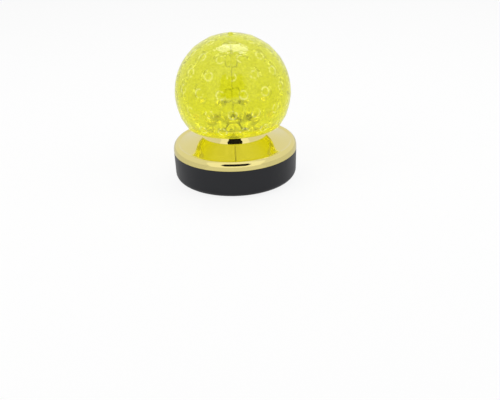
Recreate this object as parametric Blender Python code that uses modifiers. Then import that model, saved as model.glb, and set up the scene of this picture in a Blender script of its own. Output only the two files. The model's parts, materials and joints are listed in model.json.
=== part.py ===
"""LED disco ball light: a clear lens-bumped ball that a small geared motor turns over a
gold-topped round base with a loudspeaker, a memory stick socket and a card slot.

Metres, +Z up. The origin is on the ground, under the middle of the lamp. The lamp's front
faces -Y, and its sockets and buttons are at the back, towards +Y.
"""
import math

import bmesh
import bpy
from mathutils import Matrix, Vector

MM = 0.001

# Sizes that several pieces share
GAP = 0.3 * MM                      # clearance between two pieces that touch
OVERRUN = 3.0 * MM                  # how far a cutter runs past what it cuts
MERGE = 0.01 * MM                   # merge distance of turned shapes
ROUND_STEPS = 40                    # flats round the large turned pieces
MIDDLE_STEPS = 24                   # flats round the middle-sized ones
SMALL_STEPS = 14                    # flats round the small ones
THIN_STEPS = 10                     # flats round screws, rod and light sources

# Base housing: a low black bowl with a rounded lower edge
BASE_RADIUS = 62.3 * MM             # where housing and gold plate meet
WAIST_INSET = 0.75 * MM             # the bowl draws in below that joint
CORNER_WIDTH = 6.0 * MM             # of the rounded lower edge, inwards and upwards
CORNER_HEIGHT = 6.0 * MM
FOOT_REACH = 1.2 * MM               # the feet stand out this far below its floor
HOUSING_WALL = 2.2 * MM
HOUSING_BROW = 3.9 * MM             # wall between the socket panel and the gold plate
CORNER_POINTS = 5
INNER_CORNER_POINTS = 3

# Gold top plate: rounded rim, shallow flared dish and raised hub.
# Rim heights count up from the housing's top edge, hub drops count down from the hub's top.
SKIRT_HEIGHT = 3.0 * MM
RIM_SHOULDER_INSET = 0.75 * MM
RIM_SHOULDER_HEIGHT = 6.6 * MM
RIM_CREST_INSET = 3.35 * MM
RIM_CREST_HEIGHT = 9.1 * MM
CREASE_INSET = 6.35 * MM
CREASE_HEIGHT = 8.0 * MM
FLARE_POWER = 1.35                  # how the dish steepens towards the hub
FLARE_POINTS = 4
INNER_FLARE_POINTS = 1
HUB_TOP_RADIUS = 27.8 * MM
HUB_RISE = 18.4 * MM                # from the crease inside the rim
HUB_SHOULDER_STEP = 1.0 * MM        # how far each point lies outside the hub's top
HUB_SHOULDER_DROP = 1.0 * MM
HUB_FILLET_STEP = 3.2 * MM
HUB_FILLET_DROP = 8.0 * MM
HUB_FOOT_STEP = 4.8 * MM
HUB_FOOT_DROP = 10.4 * MM
PLATE_WALL = 1.8 * MM
LIP_WALL = 1.5 * MM                 # locating ring that drops inside the housing
LIP_DEPTH = 3.0 * MM

# Screws from below: posts on the housing's floor, bosses under the plate
SCREW_INSET = 5.5 * MM              # from the edge of the flat floor
SCREW_ANGLES = (-90, 30, 150)       # degrees from +X
POST_RADIUS = 4.0 * MM
POST_HEIGHT = 12.9 * MM
SHANK_RADIUS = 1.3 * MM
SHANK_CLEARANCE = 0.4 * MM          # between the shank and its hole in the post
SHANK_LENGTH = 14.0 * MM            # of the shank that grips the boss
HEAD_RADIUS = 2.8 * MM
HEAD_HEIGHT = 1.8 * MM
HEAD_RECESS = 6.0 * MM              # how deep the head sits in the post
DRIVE_WIDTH = 0.8 * MM              # slot for the screwdriver
DRIVE_DEPTH = 0.9 * MM

# Rubber feet
FOOT_INSET = 12.0 * MM              # their middles, from the edge of the flat floor
FOOT_ANGLES = (45, 135, 225, 315)
FOOT_RADIUS = 6.0 * MM
FOOT_SEAT_DEPTH = 0.8 * MM
FOOT_EDGE = 0.4 * MM

# Socket panel, let into the back of the housing
PANEL_CORNER_DEPTH = 0.8 * MM       # the round wall's depth in front of the panel's corners
PANEL_THICKNESS = 2.0 * MM
PANEL_COLLAR = 1.6 * MM
PANEL_MARGIN = 1.8 * MM             # below the main board's top, and above the buttons
PANEL_SIDE_MARGIN = 4.0 * MM        # beside the power inlet

# Main board and what stands on its back edge
BOARD_THICKNESS = 1.6 * MM
MAIN_BOARD_RISE = 6.0 * MM          # its top face, from the floor
MAIN_BOARD_LENGTH = 30.0 * MM
MAIN_BOARD_MARGIN = 1.5 * MM        # each side is this much inside the panel's end
BOARD_POST_INSET = 4.0 * MM         # from the board's front corners
BOARD_POST_RADIUS = 3.0 * MM
SOCKET_DEPTH = 14.0 * MM
USB_WIDTH = 14.4 * MM
USB_HEIGHT = 6.6 * MM
USB_MOUTH_WIDTH = 12.4 * MM
USB_MOUTH_HEIGHT = 4.8 * MM
USB_MOUTH_DEPTH = 9.0 * MM
USB_X = 4.0 * MM
CARD_WIDTH = 14.6 * MM
CARD_HEIGHT = 2.6 * MM
CARD_MOUTH_WIDTH = 11.4 * MM
CARD_MOUTH_HEIGHT = 1.2 * MM
CARD_X = -15.0 * MM
JACK_WIDTH = 9.0 * MM
JACK_HEIGHT = 9.0 * MM
JACK_HOLE_RADIUS = 3.0 * MM
JACK_PIN_RADIUS = 1.0 * MM
JACK_X = 20.0 * MM

# Key board behind the panel, its keys and the power switch
KEY_BOARD_MARGIN = 2.5 * MM
KEY_BOARD_CLEARANCE = 1.0 * MM      # between its end and the power inlet
KEY_BOARD_HEIGHT = 7.0 * MM
KEY_CLEARANCE = 0.9 * MM            # between the stick socket and a button's flange
KEY_FIRST_X = -20.0 * MM
KEY_PITCH = 9.0 * MM
KEY_NAMES = ("next", "play", "previous")
KEY_BODY = 6.0 * MM
KEY_BODY_DEPTH = 3.0 * MM
BUTTON_RADIUS = 2.4 * MM
BUTTON_FLANGE_RADIUS = 3.2 * MM
BUTTON_FLANGE = 1.2 * MM
BUTTON_REACH = 1.0 * MM             # a button stands out this far from the panel
BUTTON_TRAVEL = 0.6 * MM
PRESS_CLEARANCE = 0.2 * MM          # left between a pressed button and its key
SWITCH_X = 8.4 * MM
SWITCH_BODY_WIDTH = 10.0 * MM
SWITCH_BODY_HEIGHT = 5.0 * MM
SWITCH_TRAVEL = 3.0 * MM
KNOB_WIDTH = 3.0 * MM
KNOB_HEIGHT = 2.8 * MM
KNOB_REACH = 1.4 * MM
KNOB_FLANGE_WIDTH = 8.0 * MM
KNOB_FLANGE_HEIGHT = 4.6 * MM

# Loudspeaker, facing down through slots in the floor. It fills the room between
# the front screw post and the main board, and its own pieces follow its radius.
SPEAKER_BOARD_CLEARANCE = 4.5 * MM
SPEAKER_POST_CLEARANCE = 14.5 * MM
SPEAKER_FLANGE = 1.6 * MM
SPEAKER_NECK_SHARE = 0.738
SPEAKER_NECK_HEIGHT = 9.0 * MM
SPEAKER_BASKET_WALL = 1.2 * MM
CONE_RIM_CLEARANCE = 1.7 * MM
CONE_THROAT_SHARE = 0.267
CONE_DEPTH = 7.0 * MM
CONE_WALL = 0.8 * MM
MAGNET_SHARE = 0.622
MAGNET_HEIGHT = 7.0 * MM
GRILLE_SLOT_WIDTH = 2.2 * MM
GRILLE_SLOT_PITCH = 5.0 * MM
GRILLE_SHARE = 0.711

# Motor and gearbox under the hub's top
GEARBOX_RADIUS = 13.0 * MM
GEARBOX_HEIGHT = 10.0 * MM
EAR_SCREW_OFFSET = 3.5 * MM         # from the gearbox's side to its screws
EAR_END = 2.5 * MM                  # of an ear, past its screw
EAR_WIDTH = 7.0 * MM
EAR_HEIGHT = 1.6 * MM
MOTOR_RADIUS = 10.0 * MM
MOTOR_HEIGHT = 12.0 * MM
SMALL_SCREW_SHANK = 1.0 * MM
SMALL_SCREW_HEAD = 2.0 * MM
SMALL_SCREW_HEAD_HEIGHT = 1.4 * MM
MOTOR_POST_RADIUS = 3.0 * MM
MOTOR_POST_HEIGHT = 3.0 * MM
BUSH_RADIUS = 5.8 * MM
BUSH_FLANGE_RADIUS = 7.6 * MM
BUSH_FLANGE = 1.0 * MM

# What turns: shaft, coupling, rod, ball hub, ball and cap
SHAFT_RADIUS = 2.0 * MM
SHAFT_SINK = 4.0 * MM               # its length inside the gearbox
COUPLING_RADIUS = 5.4 * MM
COUPLING_HEIGHT = 9.0 * MM
SHAFT_GRIP = 4.0 * MM               # shaft's length inside the coupling
ROD_RADIUS = 1.2 * MM
ROD_GRIP = 3.0 * MM                 # rod's length inside the coupling and the ball hub
BALL_RADIUS = 57.3 * MM
BALL_LIP_CLEARANCE = 1.5 * MM       # between the hub's top and the ball's lower edge
BALL_LIP_DROP = 32.0 * MM           # that edge, below the ball's centre
BALL_WALL = 2.6 * MM
BALL_STEPS = 36
BALL_OUTER_RINGS = 12
BALL_INNER_RINGS = 6
POLE_HOLE_RADIUS = 1.8 * MM
BALL_HUB_RADIUS = 6.0 * MM
BALL_HUB_HEIGHT = 8.0 * MM
CAP_RADIUS = 3.6 * MM
CAP_HEIGHT = 1.6 * MM
CAP_SHANK_LENGTH = 5.0 * MM

# Lens bumps in rows of latitude. Every other row starts half a step round, so that
# neighbouring rows interlock.
LENS_LATITUDES = (-24, -5, 14, 33, 52, 69)   # degrees
LENS_COUNTS = (16, 16, 16, 14, 12, 6)
LENS_HALF_STEP = (True, False, True, False, True, False)
LENS_RADIUS = 6.9 * MM
LENS_RISE = 1.8 * MM
LENS_SINK = 1.0 * MM                # depth of a lens's middle below the ball's surface
LENS_SIDES = 9
LENS_RINGS = 4

# Lamp board on the hub, its light sources and the receiver
LED_BOARD_INSET = 1.3 * MM          # from the edge of the hub's top
LED_BOARD_CLEARANCE = 0.8 * MM      # round the bush's flange
LED_COUNT = 6
LED_INSET = 9.0 * MM                # from the board's edge
LED_RADIUS = 2.5 * MM
LED_RIM_RADIUS = 2.9 * MM
LED_RIM = 1.0 * MM
LED_HEIGHT = 8.0 * MM
RECEIVER_INSET = 3.5 * MM
RECEIVER_ANGLE = -60                # between two light sources, at the front
RECEIVER_WIDTH = 5.0 * MM
RECEIVER_DEPTH = 3.0 * MM
RECEIVER_HEIGHT = 5.5 * MM

# Internal leads
LEAD_RADIUS = 0.6 * MM
LEAD_HOLE_RADIUS = 1.6 * MM
LAMP_LEAD_INSET = 5.8 * MM          # from the edge of the hub's top
LEAD_STRAIGHT = 4.0 * MM            # straight run at a lead's ends
LEAD_END_INSET = 5.0 * MM           # from the main board's front edge
MOTOR_LEAD_Y = 6.0 * MM
SPEAKER_LEAD_X = 12.0 * MM
LEAD_STEPS = 2                      # points between two points of a lead's route

# Heights that follow from the sizes above, from the floor up to the cap
FLOOR_TOP_Z = FOOT_REACH + HOUSING_WALL
POST_TOP_Z = FLOOR_TOP_Z + POST_HEIGHT
MAIN_BOARD_Z = FLOOR_TOP_Z + MAIN_BOARD_RISE             # its top face
BOARD_BOTTOM_Z = MAIN_BOARD_Z - BOARD_THICKNESS
SOCKET_SEAT_Z = MAIN_BOARD_Z + GAP
KEY_Z = SOCKET_SEAT_Z + USB_HEIGHT + KEY_CLEARANCE + BUTTON_FLANGE_RADIUS
PANEL_LOW_Z = MAIN_BOARD_Z - PANEL_MARGIN
PANEL_HIGH_Z = KEY_Z + BUTTON_FLANGE_RADIUS + PANEL_MARGIN
HOUSING_TOP_Z = PANEL_HIGH_Z + HOUSING_BROW
CREASE_Z = HOUSING_TOP_Z + CREASE_HEIGHT
HUB_TOP_Z = CREASE_Z + HUB_RISE
HUB_UNDERSIDE_Z = HUB_TOP_Z - PLATE_WALL
HUB_FOOT_Z = HUB_TOP_Z - HUB_FOOT_DROP
GEARBOX_TOP_Z = HUB_UNDERSIDE_Z - MOTOR_POST_HEIGHT - GAP
GEARBOX_BOTTOM_Z = GEARBOX_TOP_Z - GEARBOX_HEIGHT
LED_BOARD_Z = HUB_TOP_Z + GAP + BOARD_THICKNESS          # its top face
BUSH_TOP_Z = HUB_TOP_Z + GAP + BUSH_FLANGE
COUPLING_BOTTOM_Z = BUSH_TOP_Z + GAP
COUPLING_TOP_Z = COUPLING_BOTTOM_Z + COUPLING_HEIGHT
BALL_LIP_Z = HUB_TOP_Z + BALL_LIP_CLEARANCE
BALL_CENTRE_Z = BALL_LIP_Z + BALL_LIP_DROP
BALL_HUB_TOP_Z = BALL_CENTRE_Z + BALL_RADIUS - BALL_WALL - GAP
BALL_HUB_BOTTOM_Z = BALL_HUB_TOP_Z - BALL_HUB_HEIGHT
CAP_SEAT_Z = BALL_CENTRE_Z + BALL_RADIUS + GAP

# Widths and depths that follow: the panel is set by what it holds and by the round
# wall, the boards by the panel, and the loudspeaker by the room that is left
WAIST_RADIUS = BASE_RADIUS - WAIST_INSET
FLAT_RADIUS = WAIST_RADIUS - CORNER_WIDTH
CREASE_RADIUS = BASE_RADIUS - CREASE_INSET
HUB_FOOT_RADIUS = HUB_TOP_RADIUS + HUB_FOOT_STEP
HUB_HOLE_RADIUS = BUSH_RADIUS + GAP
SCREW_CIRCLE = FLAT_RADIUS - SCREW_INSET
SHANK_HOLE_RADIUS = SHANK_RADIUS + SHANK_CLEARANCE
FOOT_CIRCLE = FLAT_RADIUS - FOOT_INSET
PANEL_HALF_WIDTH = JACK_X + JACK_WIDTH / 2 + PANEL_SIDE_MARGIN
PANEL_FACE_Y = math.sqrt(WAIST_RADIUS ** 2 - PANEL_HALF_WIDTH ** 2) - PANEL_CORNER_DEPTH
PANEL_BACK_Y = PANEL_FACE_Y - PANEL_THICKNESS
SOCKET_BACK_Y = PANEL_BACK_Y - GAP
FLANGE_BACK_Y = PANEL_BACK_Y - GAP - BUTTON_FLANGE
KEY_FACE_Y = FLANGE_BACK_Y - BUTTON_TRAVEL - PRESS_CLEARANCE - KEY_BODY_DEPTH - GAP
KEY_X = tuple(KEY_FIRST_X + number * KEY_PITCH for number in range(len(KEY_NAMES)))
MAIN_BOARD_HALF_WIDTH = PANEL_HALF_WIDTH - MAIN_BOARD_MARGIN
MAIN_BOARD_FRONT_Y = KEY_FACE_Y - MAIN_BOARD_LENGTH
BOARD_POST_X = MAIN_BOARD_HALF_WIDTH - BOARD_POST_INSET
BOARD_POST_Y = MAIN_BOARD_FRONT_Y + BOARD_POST_INSET
SPEAKER_ROOM = MAIN_BOARD_FRONT_Y + SCREW_CIRCLE - POST_RADIUS
SPEAKER_RADIUS = (SPEAKER_ROOM - SPEAKER_BOARD_CLEARANCE - SPEAKER_POST_CLEARANCE) / 2
SPEAKER_Y = MAIN_BOARD_FRONT_Y - SPEAKER_BOARD_CLEARANCE - SPEAKER_RADIUS
SPEAKER_NECK_RADIUS = SPEAKER_RADIUS * SPEAKER_NECK_SHARE
CONE_MOUTH_RADIUS = SPEAKER_RADIUS - 2 * SPEAKER_BASKET_WALL - CONE_RIM_CLEARANCE
CONE_THROAT_RADIUS = SPEAKER_RADIUS * CONE_THROAT_SHARE
MAGNET_RADIUS = SPEAKER_RADIUS * MAGNET_SHARE
GRILLE_RADIUS = SPEAKER_RADIUS * GRILLE_SHARE
MOTOR_SCREW_CIRCLE = GEARBOX_RADIUS + EAR_SCREW_OFFSET
LED_BOARD_RADIUS = HUB_TOP_RADIUS - LED_BOARD_INSET
LED_CIRCLE = LED_BOARD_RADIUS - LED_INSET
RECEIVER_CIRCLE = LED_BOARD_RADIUS - RECEIVER_INSET
LAMP_LEAD_Y = HUB_TOP_RADIUS - LAMP_LEAD_INSET           # where the lead drops through the hub

# Colours (linear), roughness, metallic
FINISHES = {
    "black_plastic": ((0.030, 0.031, 0.034), 0.42, 0.0),
    "gold_plate": ((0.72, 0.60, 0.27), 0.16, 0.9),
    "clear_yellow": ((0.70, 0.73, 0.03), 0.12, 0.0),
    "board_green": ((0.02, 0.14, 0.05), 0.5, 0.0),
    "white_board": ((0.80, 0.80, 0.78), 0.45, 0.0),
    "steel": ((0.55, 0.55, 0.56), 0.3, 1.0),
    "brass": ((0.60, 0.44, 0.16), 0.3, 1.0),
    "rubber": ((0.02, 0.02, 0.02), 0.85, 0.0),
    "grey_plastic": ((0.30, 0.31, 0.32), 0.5, 0.0),
    "paper": ((0.05, 0.05, 0.055), 0.9, 0.0),
    "ferrite": ((0.06, 0.06, 0.065), 0.6, 0.2),
    "led_resin": ((0.85, 0.83, 0.55), 0.1, 0.0),
    "red_wire": ((0.45, 0.02, 0.02), 0.5, 0.0),
}


def start_scene():
    """Remove what the scene holds and make the two collections."""
    for obj in list(bpy.data.objects):
        bpy.data.objects.remove(obj, do_unlink=True)
    parts = bpy.data.collections.new("led_disco_ball_light")
    cutters = bpy.data.collections.new("cutters")
    for collection in (parts, cutters):
        bpy.context.scene.collection.children.link(collection)
    return parts, cutters


def make_materials():
    """One Principled material for each finish."""
    materials = {}
    for name, (colour, roughness, metallic) in FINISHES.items():
        material = bpy.data.materials.new(name)
        material.use_nodes = True
        shader = material.node_tree.nodes["Principled BSDF"]
        shader.inputs["Base Color"].default_value = (*colour, 1)
        shader.inputs["Roughness"].default_value = roughness
        shader.inputs["Metallic"].default_value = metallic
        materials[name] = material
    return materials


PARTS, CUTTERS = start_scene()
MATERIALS = make_materials()


def add_object(name, bm, finish, location=(0, 0, 0)):
    """Turn a bmesh into a named part, or into a cutter where finish is None."""
    mesh = bpy.data.meshes.new(name)
    bm.to_mesh(mesh)
    bm.free()
    obj = bpy.data.objects.new(name, mesh)
    obj.location = location
    if finish is None:
        CUTTERS.objects.link(obj)
        obj.hide_render = True
        obj.display_type = 'WIRE'
    else:
        PARTS.objects.link(obj)
        mesh.materials.append(MATERIALS[finish])
    return obj


def smooth(obj, angle=35):
    """Smooth shading with sharp edges kept."""
    obj.data.shade_smooth()
    obj.data.set_sharp_from_angle(angle=math.radians(angle))
    return obj


def turned(name, profile, finish, steps=ROUND_STEPS, closed=False, location=(0, 0, 0)):
    """A profile of (radius, height) points, turned about Z."""
    bm = bmesh.new()
    verts = [bm.verts.new((radius, 0, height)) for radius, height in profile]
    for start, end in zip(verts, verts[1:]):
        bm.edges.new((start, end))
    if closed:
        bm.edges.new((verts[-1], verts[0]))
    obj = add_object(name, bm, finish, location)
    screw = obj.modifiers.new("Turn", 'SCREW')
    screw.steps = steps
    screw.render_steps = steps
    screw.use_merge_vertices = True
    screw.merge_threshold = MERGE
    screw.use_smooth_shade = True
    return obj


def ring(name, inner, outer, bottom, top, finish, steps=SMALL_STEPS, location=(0, 0, 0)):
    """A turned ring of rectangular section."""
    profile = [(inner, top), (outer, top), (outer, bottom), (inner, bottom)]
    return turned(name, profile, finish, steps, closed=True, location=location)


def cylinder(name, radius, bottom, top, finish, x=0, y=0, steps=SMALL_STEPS, along='Z'):
    """A round bar from bottom to top. One along 'Y' runs from front to back, with y as its height."""
    bm = bmesh.new()
    bmesh.ops.create_cone(bm, cap_ends=True, segments=steps, radius1=radius, radius2=radius,
                          depth=top - bottom)
    middle = (bottom + top) / 2
    if along == 'Y':
        bm.transform(Matrix.Rotation(math.radians(90), 4, 'X'))
        return add_object(name, bm, finish, (x, middle, y))
    return add_object(name, bm, finish, (x, y, middle))


def box(name, low, high, finish, edge=0):
    """A box between two corners, with rounded edges where edge is given."""
    size = Vector(high) - Vector(low)
    bm = bmesh.new()
    bmesh.ops.create_cube(bm, size=1, matrix=Matrix.Diagonal((*size, 1)))
    obj = add_object(name, bm, finish, (Vector(low) + Vector(high)) / 2)
    if edge:
        bevel = obj.modifiers.new("Edges", 'BEVEL')
        bevel.width = edge
        bevel.segments = 1
    return obj


def boolean(obj, other, operation='DIFFERENCE'):
    """Cut obj with other, join other to it, or keep what they share."""
    modifier = obj.modifiers.new(other.name, 'BOOLEAN')
    modifier.operation = operation
    modifier.object = other
    modifier.solver = 'EXACT'


def offset_path(path, distance):
    """Move a path of (radius, height) points sideways, inwards where it runs down the outside."""
    moved = []
    for index, (radius, height) in enumerate(path):
        before = path[max(index - 1, 0)]
        after = path[min(index + 1, len(path) - 1)]
        first = Vector((radius - before[0], height - before[1]))
        second = Vector((after[0] - radius, after[1] - height))
        directions = [d.normalized() for d in (first, second) if d.length > 0]
        normals = [Vector((d.y, -d.x)) for d in directions]
        mean = (normals[0] + normals[-1]).normalized()
        stretch = distance / max(mean.dot(normals[0]), 0.5)
        moved.append((radius + mean.x * stretch, height + mean.y * stretch))
    return moved


def on_circle(radius, degrees):
    """The x and y of a point on a circle round the lamp's axis."""
    angle = math.radians(degrees)
    return radius * math.cos(angle), radius * math.sin(angle)


def housing_outline(corner_points):
    """The bowl's outside, from its top edge down and in to the middle of its flat underside."""
    path = [(BASE_RADIUS, HOUSING_TOP_Z)]
    for step in range(corner_points + 1):
        angle = math.radians(90 * step / corner_points)
        path.append((FLAT_RADIUS + CORNER_WIDTH * math.cos(angle),
                     FOOT_REACH + CORNER_HEIGHT * (1 - math.sin(angle))))
    return path + [(0, FOOT_REACH)]


def make_housing():
    """Black bowl with screw posts, board posts, foot seats, speaker slots and back window."""
    outside = housing_outline(CORNER_POINTS)
    inside = offset_path(housing_outline(INNER_CORNER_POINTS), HOUSING_WALL)
    inside[0] = (BASE_RADIUS - HOUSING_WALL, HOUSING_TOP_Z)
    profile = list(reversed(inside)) + outside
    housing = turned("base_housing", profile, "black_plastic")
    weld_height = FLOOR_TOP_Z - HOUSING_WALL / 2
    for number, degrees in enumerate(SCREW_ANGLES):
        x, y = on_circle(SCREW_CIRCLE, degrees)
        post = cylinder(f"cut_post_{number}", POST_RADIUS, weld_height, POST_TOP_Z, None, x, y)
        boolean(housing, post, 'UNION')
        hole = cylinder(f"cut_post_hole_{number}", SHANK_HOLE_RADIUS, FOOT_REACH - OVERRUN,
                        POST_TOP_Z + OVERRUN, None, x, y)
        boolean(housing, hole)
        recess = cylinder(f"cut_head_{number}", HEAD_RADIUS + GAP, FOOT_REACH - OVERRUN,
                          FOOT_REACH + HEAD_RECESS, None, x, y)
        boolean(housing, recess)
    for side in (-1, 1):
        post = cylinder(f"cut_board_post_{side + 1}", BOARD_POST_RADIUS, weld_height,
                        BOARD_BOTTOM_Z - GAP, None, side * BOARD_POST_X, BOARD_POST_Y)
        boolean(housing, post, 'UNION')
        hole = cylinder(f"cut_board_hole_{side + 1}", SMALL_SCREW_SHANK + GAP, FLOOR_TOP_Z + GAP,
                        BOARD_BOTTOM_Z + OVERRUN, None, side * BOARD_POST_X, BOARD_POST_Y)
        boolean(housing, hole)
    for number, degrees in enumerate(FOOT_ANGLES):
        x, y = on_circle(FOOT_CIRCLE, degrees)
        seat = cylinder(f"cut_foot_{number}", FOOT_RADIUS + GAP, FOOT_REACH - OVERRUN,
                        FOOT_REACH + FOOT_SEAT_DEPTH, None, x, y)
        boolean(housing, seat)
    half_count = int(GRILLE_RADIUS / GRILLE_SLOT_PITCH)
    for number in range(-half_count, half_count + 1):
        x = number * GRILLE_SLOT_PITCH
        half_length = math.sqrt(GRILLE_RADIUS ** 2 - x ** 2) + GRILLE_SLOT_WIDTH
        slot = box(f"cut_slot_{number + half_count}",
                   (x - GRILLE_SLOT_WIDTH / 2, SPEAKER_Y - half_length, FOOT_REACH - OVERRUN),
                   (x + GRILLE_SLOT_WIDTH / 2, SPEAKER_Y + half_length, FLOOR_TOP_Z + OVERRUN), None)
        boolean(housing, slot)
    window = box("cut_panel_window",
                 (-PANEL_HALF_WIDTH - GAP, PANEL_BACK_Y - OVERRUN, PANEL_LOW_Z - GAP),
                 (PANEL_HALF_WIDTH + GAP, BASE_RADIUS + OVERRUN, PANEL_HIGH_Z + GAP), None)
    boolean(housing, window)
    smooth(housing)


def dish_height(radius):
    """Height of the gold dish's upper face at a radius between its crease and its hub."""
    share = (CREASE_RADIUS - radius) / (CREASE_RADIUS - HUB_FOOT_RADIUS)
    return CREASE_Z + (HUB_FOOT_Z - CREASE_Z) * share ** FLARE_POWER


def plate_outline(flare_points):
    """The gold plate's outside, from the hub's hole out over hub, dish and rim to its skirt."""
    path = [
        (HUB_HOLE_RADIUS, HUB_TOP_Z),
        (HUB_TOP_RADIUS, HUB_TOP_Z),
        (HUB_TOP_RADIUS + HUB_SHOULDER_STEP, HUB_TOP_Z - HUB_SHOULDER_DROP),
        (HUB_TOP_RADIUS + HUB_FILLET_STEP, HUB_TOP_Z - HUB_FILLET_DROP),
    ]
    for step in range(flare_points + 1):
        radius = HUB_FOOT_RADIUS + (CREASE_RADIUS - HUB_FOOT_RADIUS) * step / flare_points
        path.append((radius, dish_height(radius)))
    return path + [
        (BASE_RADIUS - RIM_CREST_INSET, HOUSING_TOP_Z + RIM_CREST_HEIGHT),
        (BASE_RADIUS - RIM_SHOULDER_INSET, HOUSING_TOP_Z + RIM_SHOULDER_HEIGHT),
        (BASE_RADIUS, HOUSING_TOP_Z + SKIRT_HEIGHT),
        (BASE_RADIUS, HOUSING_TOP_Z + GAP),
    ]


def make_top_plate():
    """Gold cover with a locating lip, screw bosses, motor posts and a hole for the lamp lead."""
    outside = plate_outline(FLARE_POINTS)
    inside = offset_path(plate_outline(INNER_FLARE_POINTS), PLATE_WALL)
    inside[0] = (HUB_HOLE_RADIUS, HUB_UNDERSIDE_Z)
    inside[-1] = (BASE_RADIUS - PLATE_WALL, HOUSING_TOP_Z + GAP)
    plate = turned("top_plate", outside + list(reversed(inside)), "gold_plate", closed=True)
    lip_radius = BASE_RADIUS - HOUSING_WALL - GAP
    lip = ring("cut_lip", lip_radius - LIP_WALL, lip_radius, HOUSING_TOP_Z - LIP_DEPTH,
               HOUSING_TOP_Z + RIM_CREST_HEIGHT - PLATE_WALL, None, ROUND_STEPS)
    boolean(plate, lip, 'UNION')
    boss_top = dish_height(SCREW_CIRCLE + POST_RADIUS) - PLATE_WALL / 2
    for number, degrees in enumerate(SCREW_ANGLES):
        x, y = on_circle(SCREW_CIRCLE, degrees)
        boss = cylinder(f"cut_boss_{number}", POST_RADIUS, POST_TOP_Z + GAP, boss_top, None, x, y)
        boolean(plate, boss, 'UNION')
        hole = cylinder(f"cut_boss_hole_{number}", SHANK_RADIUS + GAP, POST_TOP_Z - OVERRUN,
                        POST_TOP_Z + SHANK_LENGTH + OVERRUN, None, x, y)
        boolean(plate, hole)
    for side in (-1, 1):
        x = side * MOTOR_SCREW_CIRCLE
        post = cylinder(f"cut_motor_post_{side + 1}", MOTOR_POST_RADIUS, GEARBOX_TOP_Z + GAP,
                        HUB_TOP_Z - PLATE_WALL / 2, None, x, 0)
        boolean(plate, post, 'UNION')
        hole = cylinder(f"cut_motor_hole_{side + 1}", SMALL_SCREW_SHANK + GAP, GEARBOX_TOP_Z - OVERRUN,
                        HUB_UNDERSIDE_Z, None, x, 0)
        boolean(plate, hole)
    lead_hole = cylinder("cut_lead_hole", LEAD_HOLE_RADIUS, HUB_UNDERSIDE_Z - OVERRUN,
                         HUB_TOP_Z + OVERRUN, None, 0, LAMP_LEAD_Y)
    boolean(plate, lead_hole)
    smooth(plate)


def make_panel():
    """Panel with a collar that follows the housing's round wall, and its holes."""
    panel = box("port_panel", (-PANEL_HALF_WIDTH, PANEL_BACK_Y, PANEL_LOW_Z),
                (PANEL_HALF_WIDTH, BASE_RADIUS, PANEL_HIGH_Z), "black_plastic")
    skin = cylinder("cut_panel_skin", WAIST_RADIUS - GAP, PANEL_LOW_Z - OVERRUN, PANEL_HIGH_Z + OVERRUN,
                    None, steps=ROUND_STEPS * 2)
    boolean(panel, skin, 'INTERSECT')
    pocket = box("cut_panel_pocket",
                 (-PANEL_HALF_WIDTH + PANEL_COLLAR, PANEL_FACE_Y, PANEL_LOW_Z + PANEL_COLLAR),
                 (PANEL_HALF_WIDTH - PANEL_COLLAR, BASE_RADIUS + OVERRUN, PANEL_HIGH_Z - PANEL_COLLAR), None)
    boolean(panel, pocket)
    usb_z = SOCKET_SEAT_Z + USB_HEIGHT / 2
    card_z = SOCKET_SEAT_Z + CARD_HEIGHT / 2
    jack_z = SOCKET_SEAT_Z + JACK_HEIGHT / 2
    near = PANEL_BACK_Y - OVERRUN
    far = PANEL_FACE_Y + OVERRUN
    mouths = (
        ("usb", USB_X, usb_z, USB_MOUTH_WIDTH, USB_MOUTH_HEIGHT),
        ("card", CARD_X, card_z, CARD_MOUTH_WIDTH, CARD_MOUTH_HEIGHT),
        ("knob", SWITCH_X, KEY_Z, KNOB_WIDTH + SWITCH_TRAVEL, KNOB_HEIGHT),
    )
    for name, x, z, width, height in mouths:
        hole = box(f"cut_{name}_mouth", (x - width / 2 - GAP, near, z - height / 2 - GAP),
                   (x + width / 2 + GAP, far, z + height / 2 + GAP), None)
        boolean(panel, hole)
    jack_hole = cylinder("cut_jack_mouth", JACK_HOLE_RADIUS + GAP, near, far, None, JACK_X, jack_z,
                         along='Y')
    boolean(panel, jack_hole)
    for name, x in zip(KEY_NAMES, KEY_X):
        hole = cylinder(f"cut_{name}_hole", BUTTON_RADIUS + GAP, near, far, None, x, KEY_Z, along='Y')
        boolean(panel, hole)
    smooth(panel)


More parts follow.
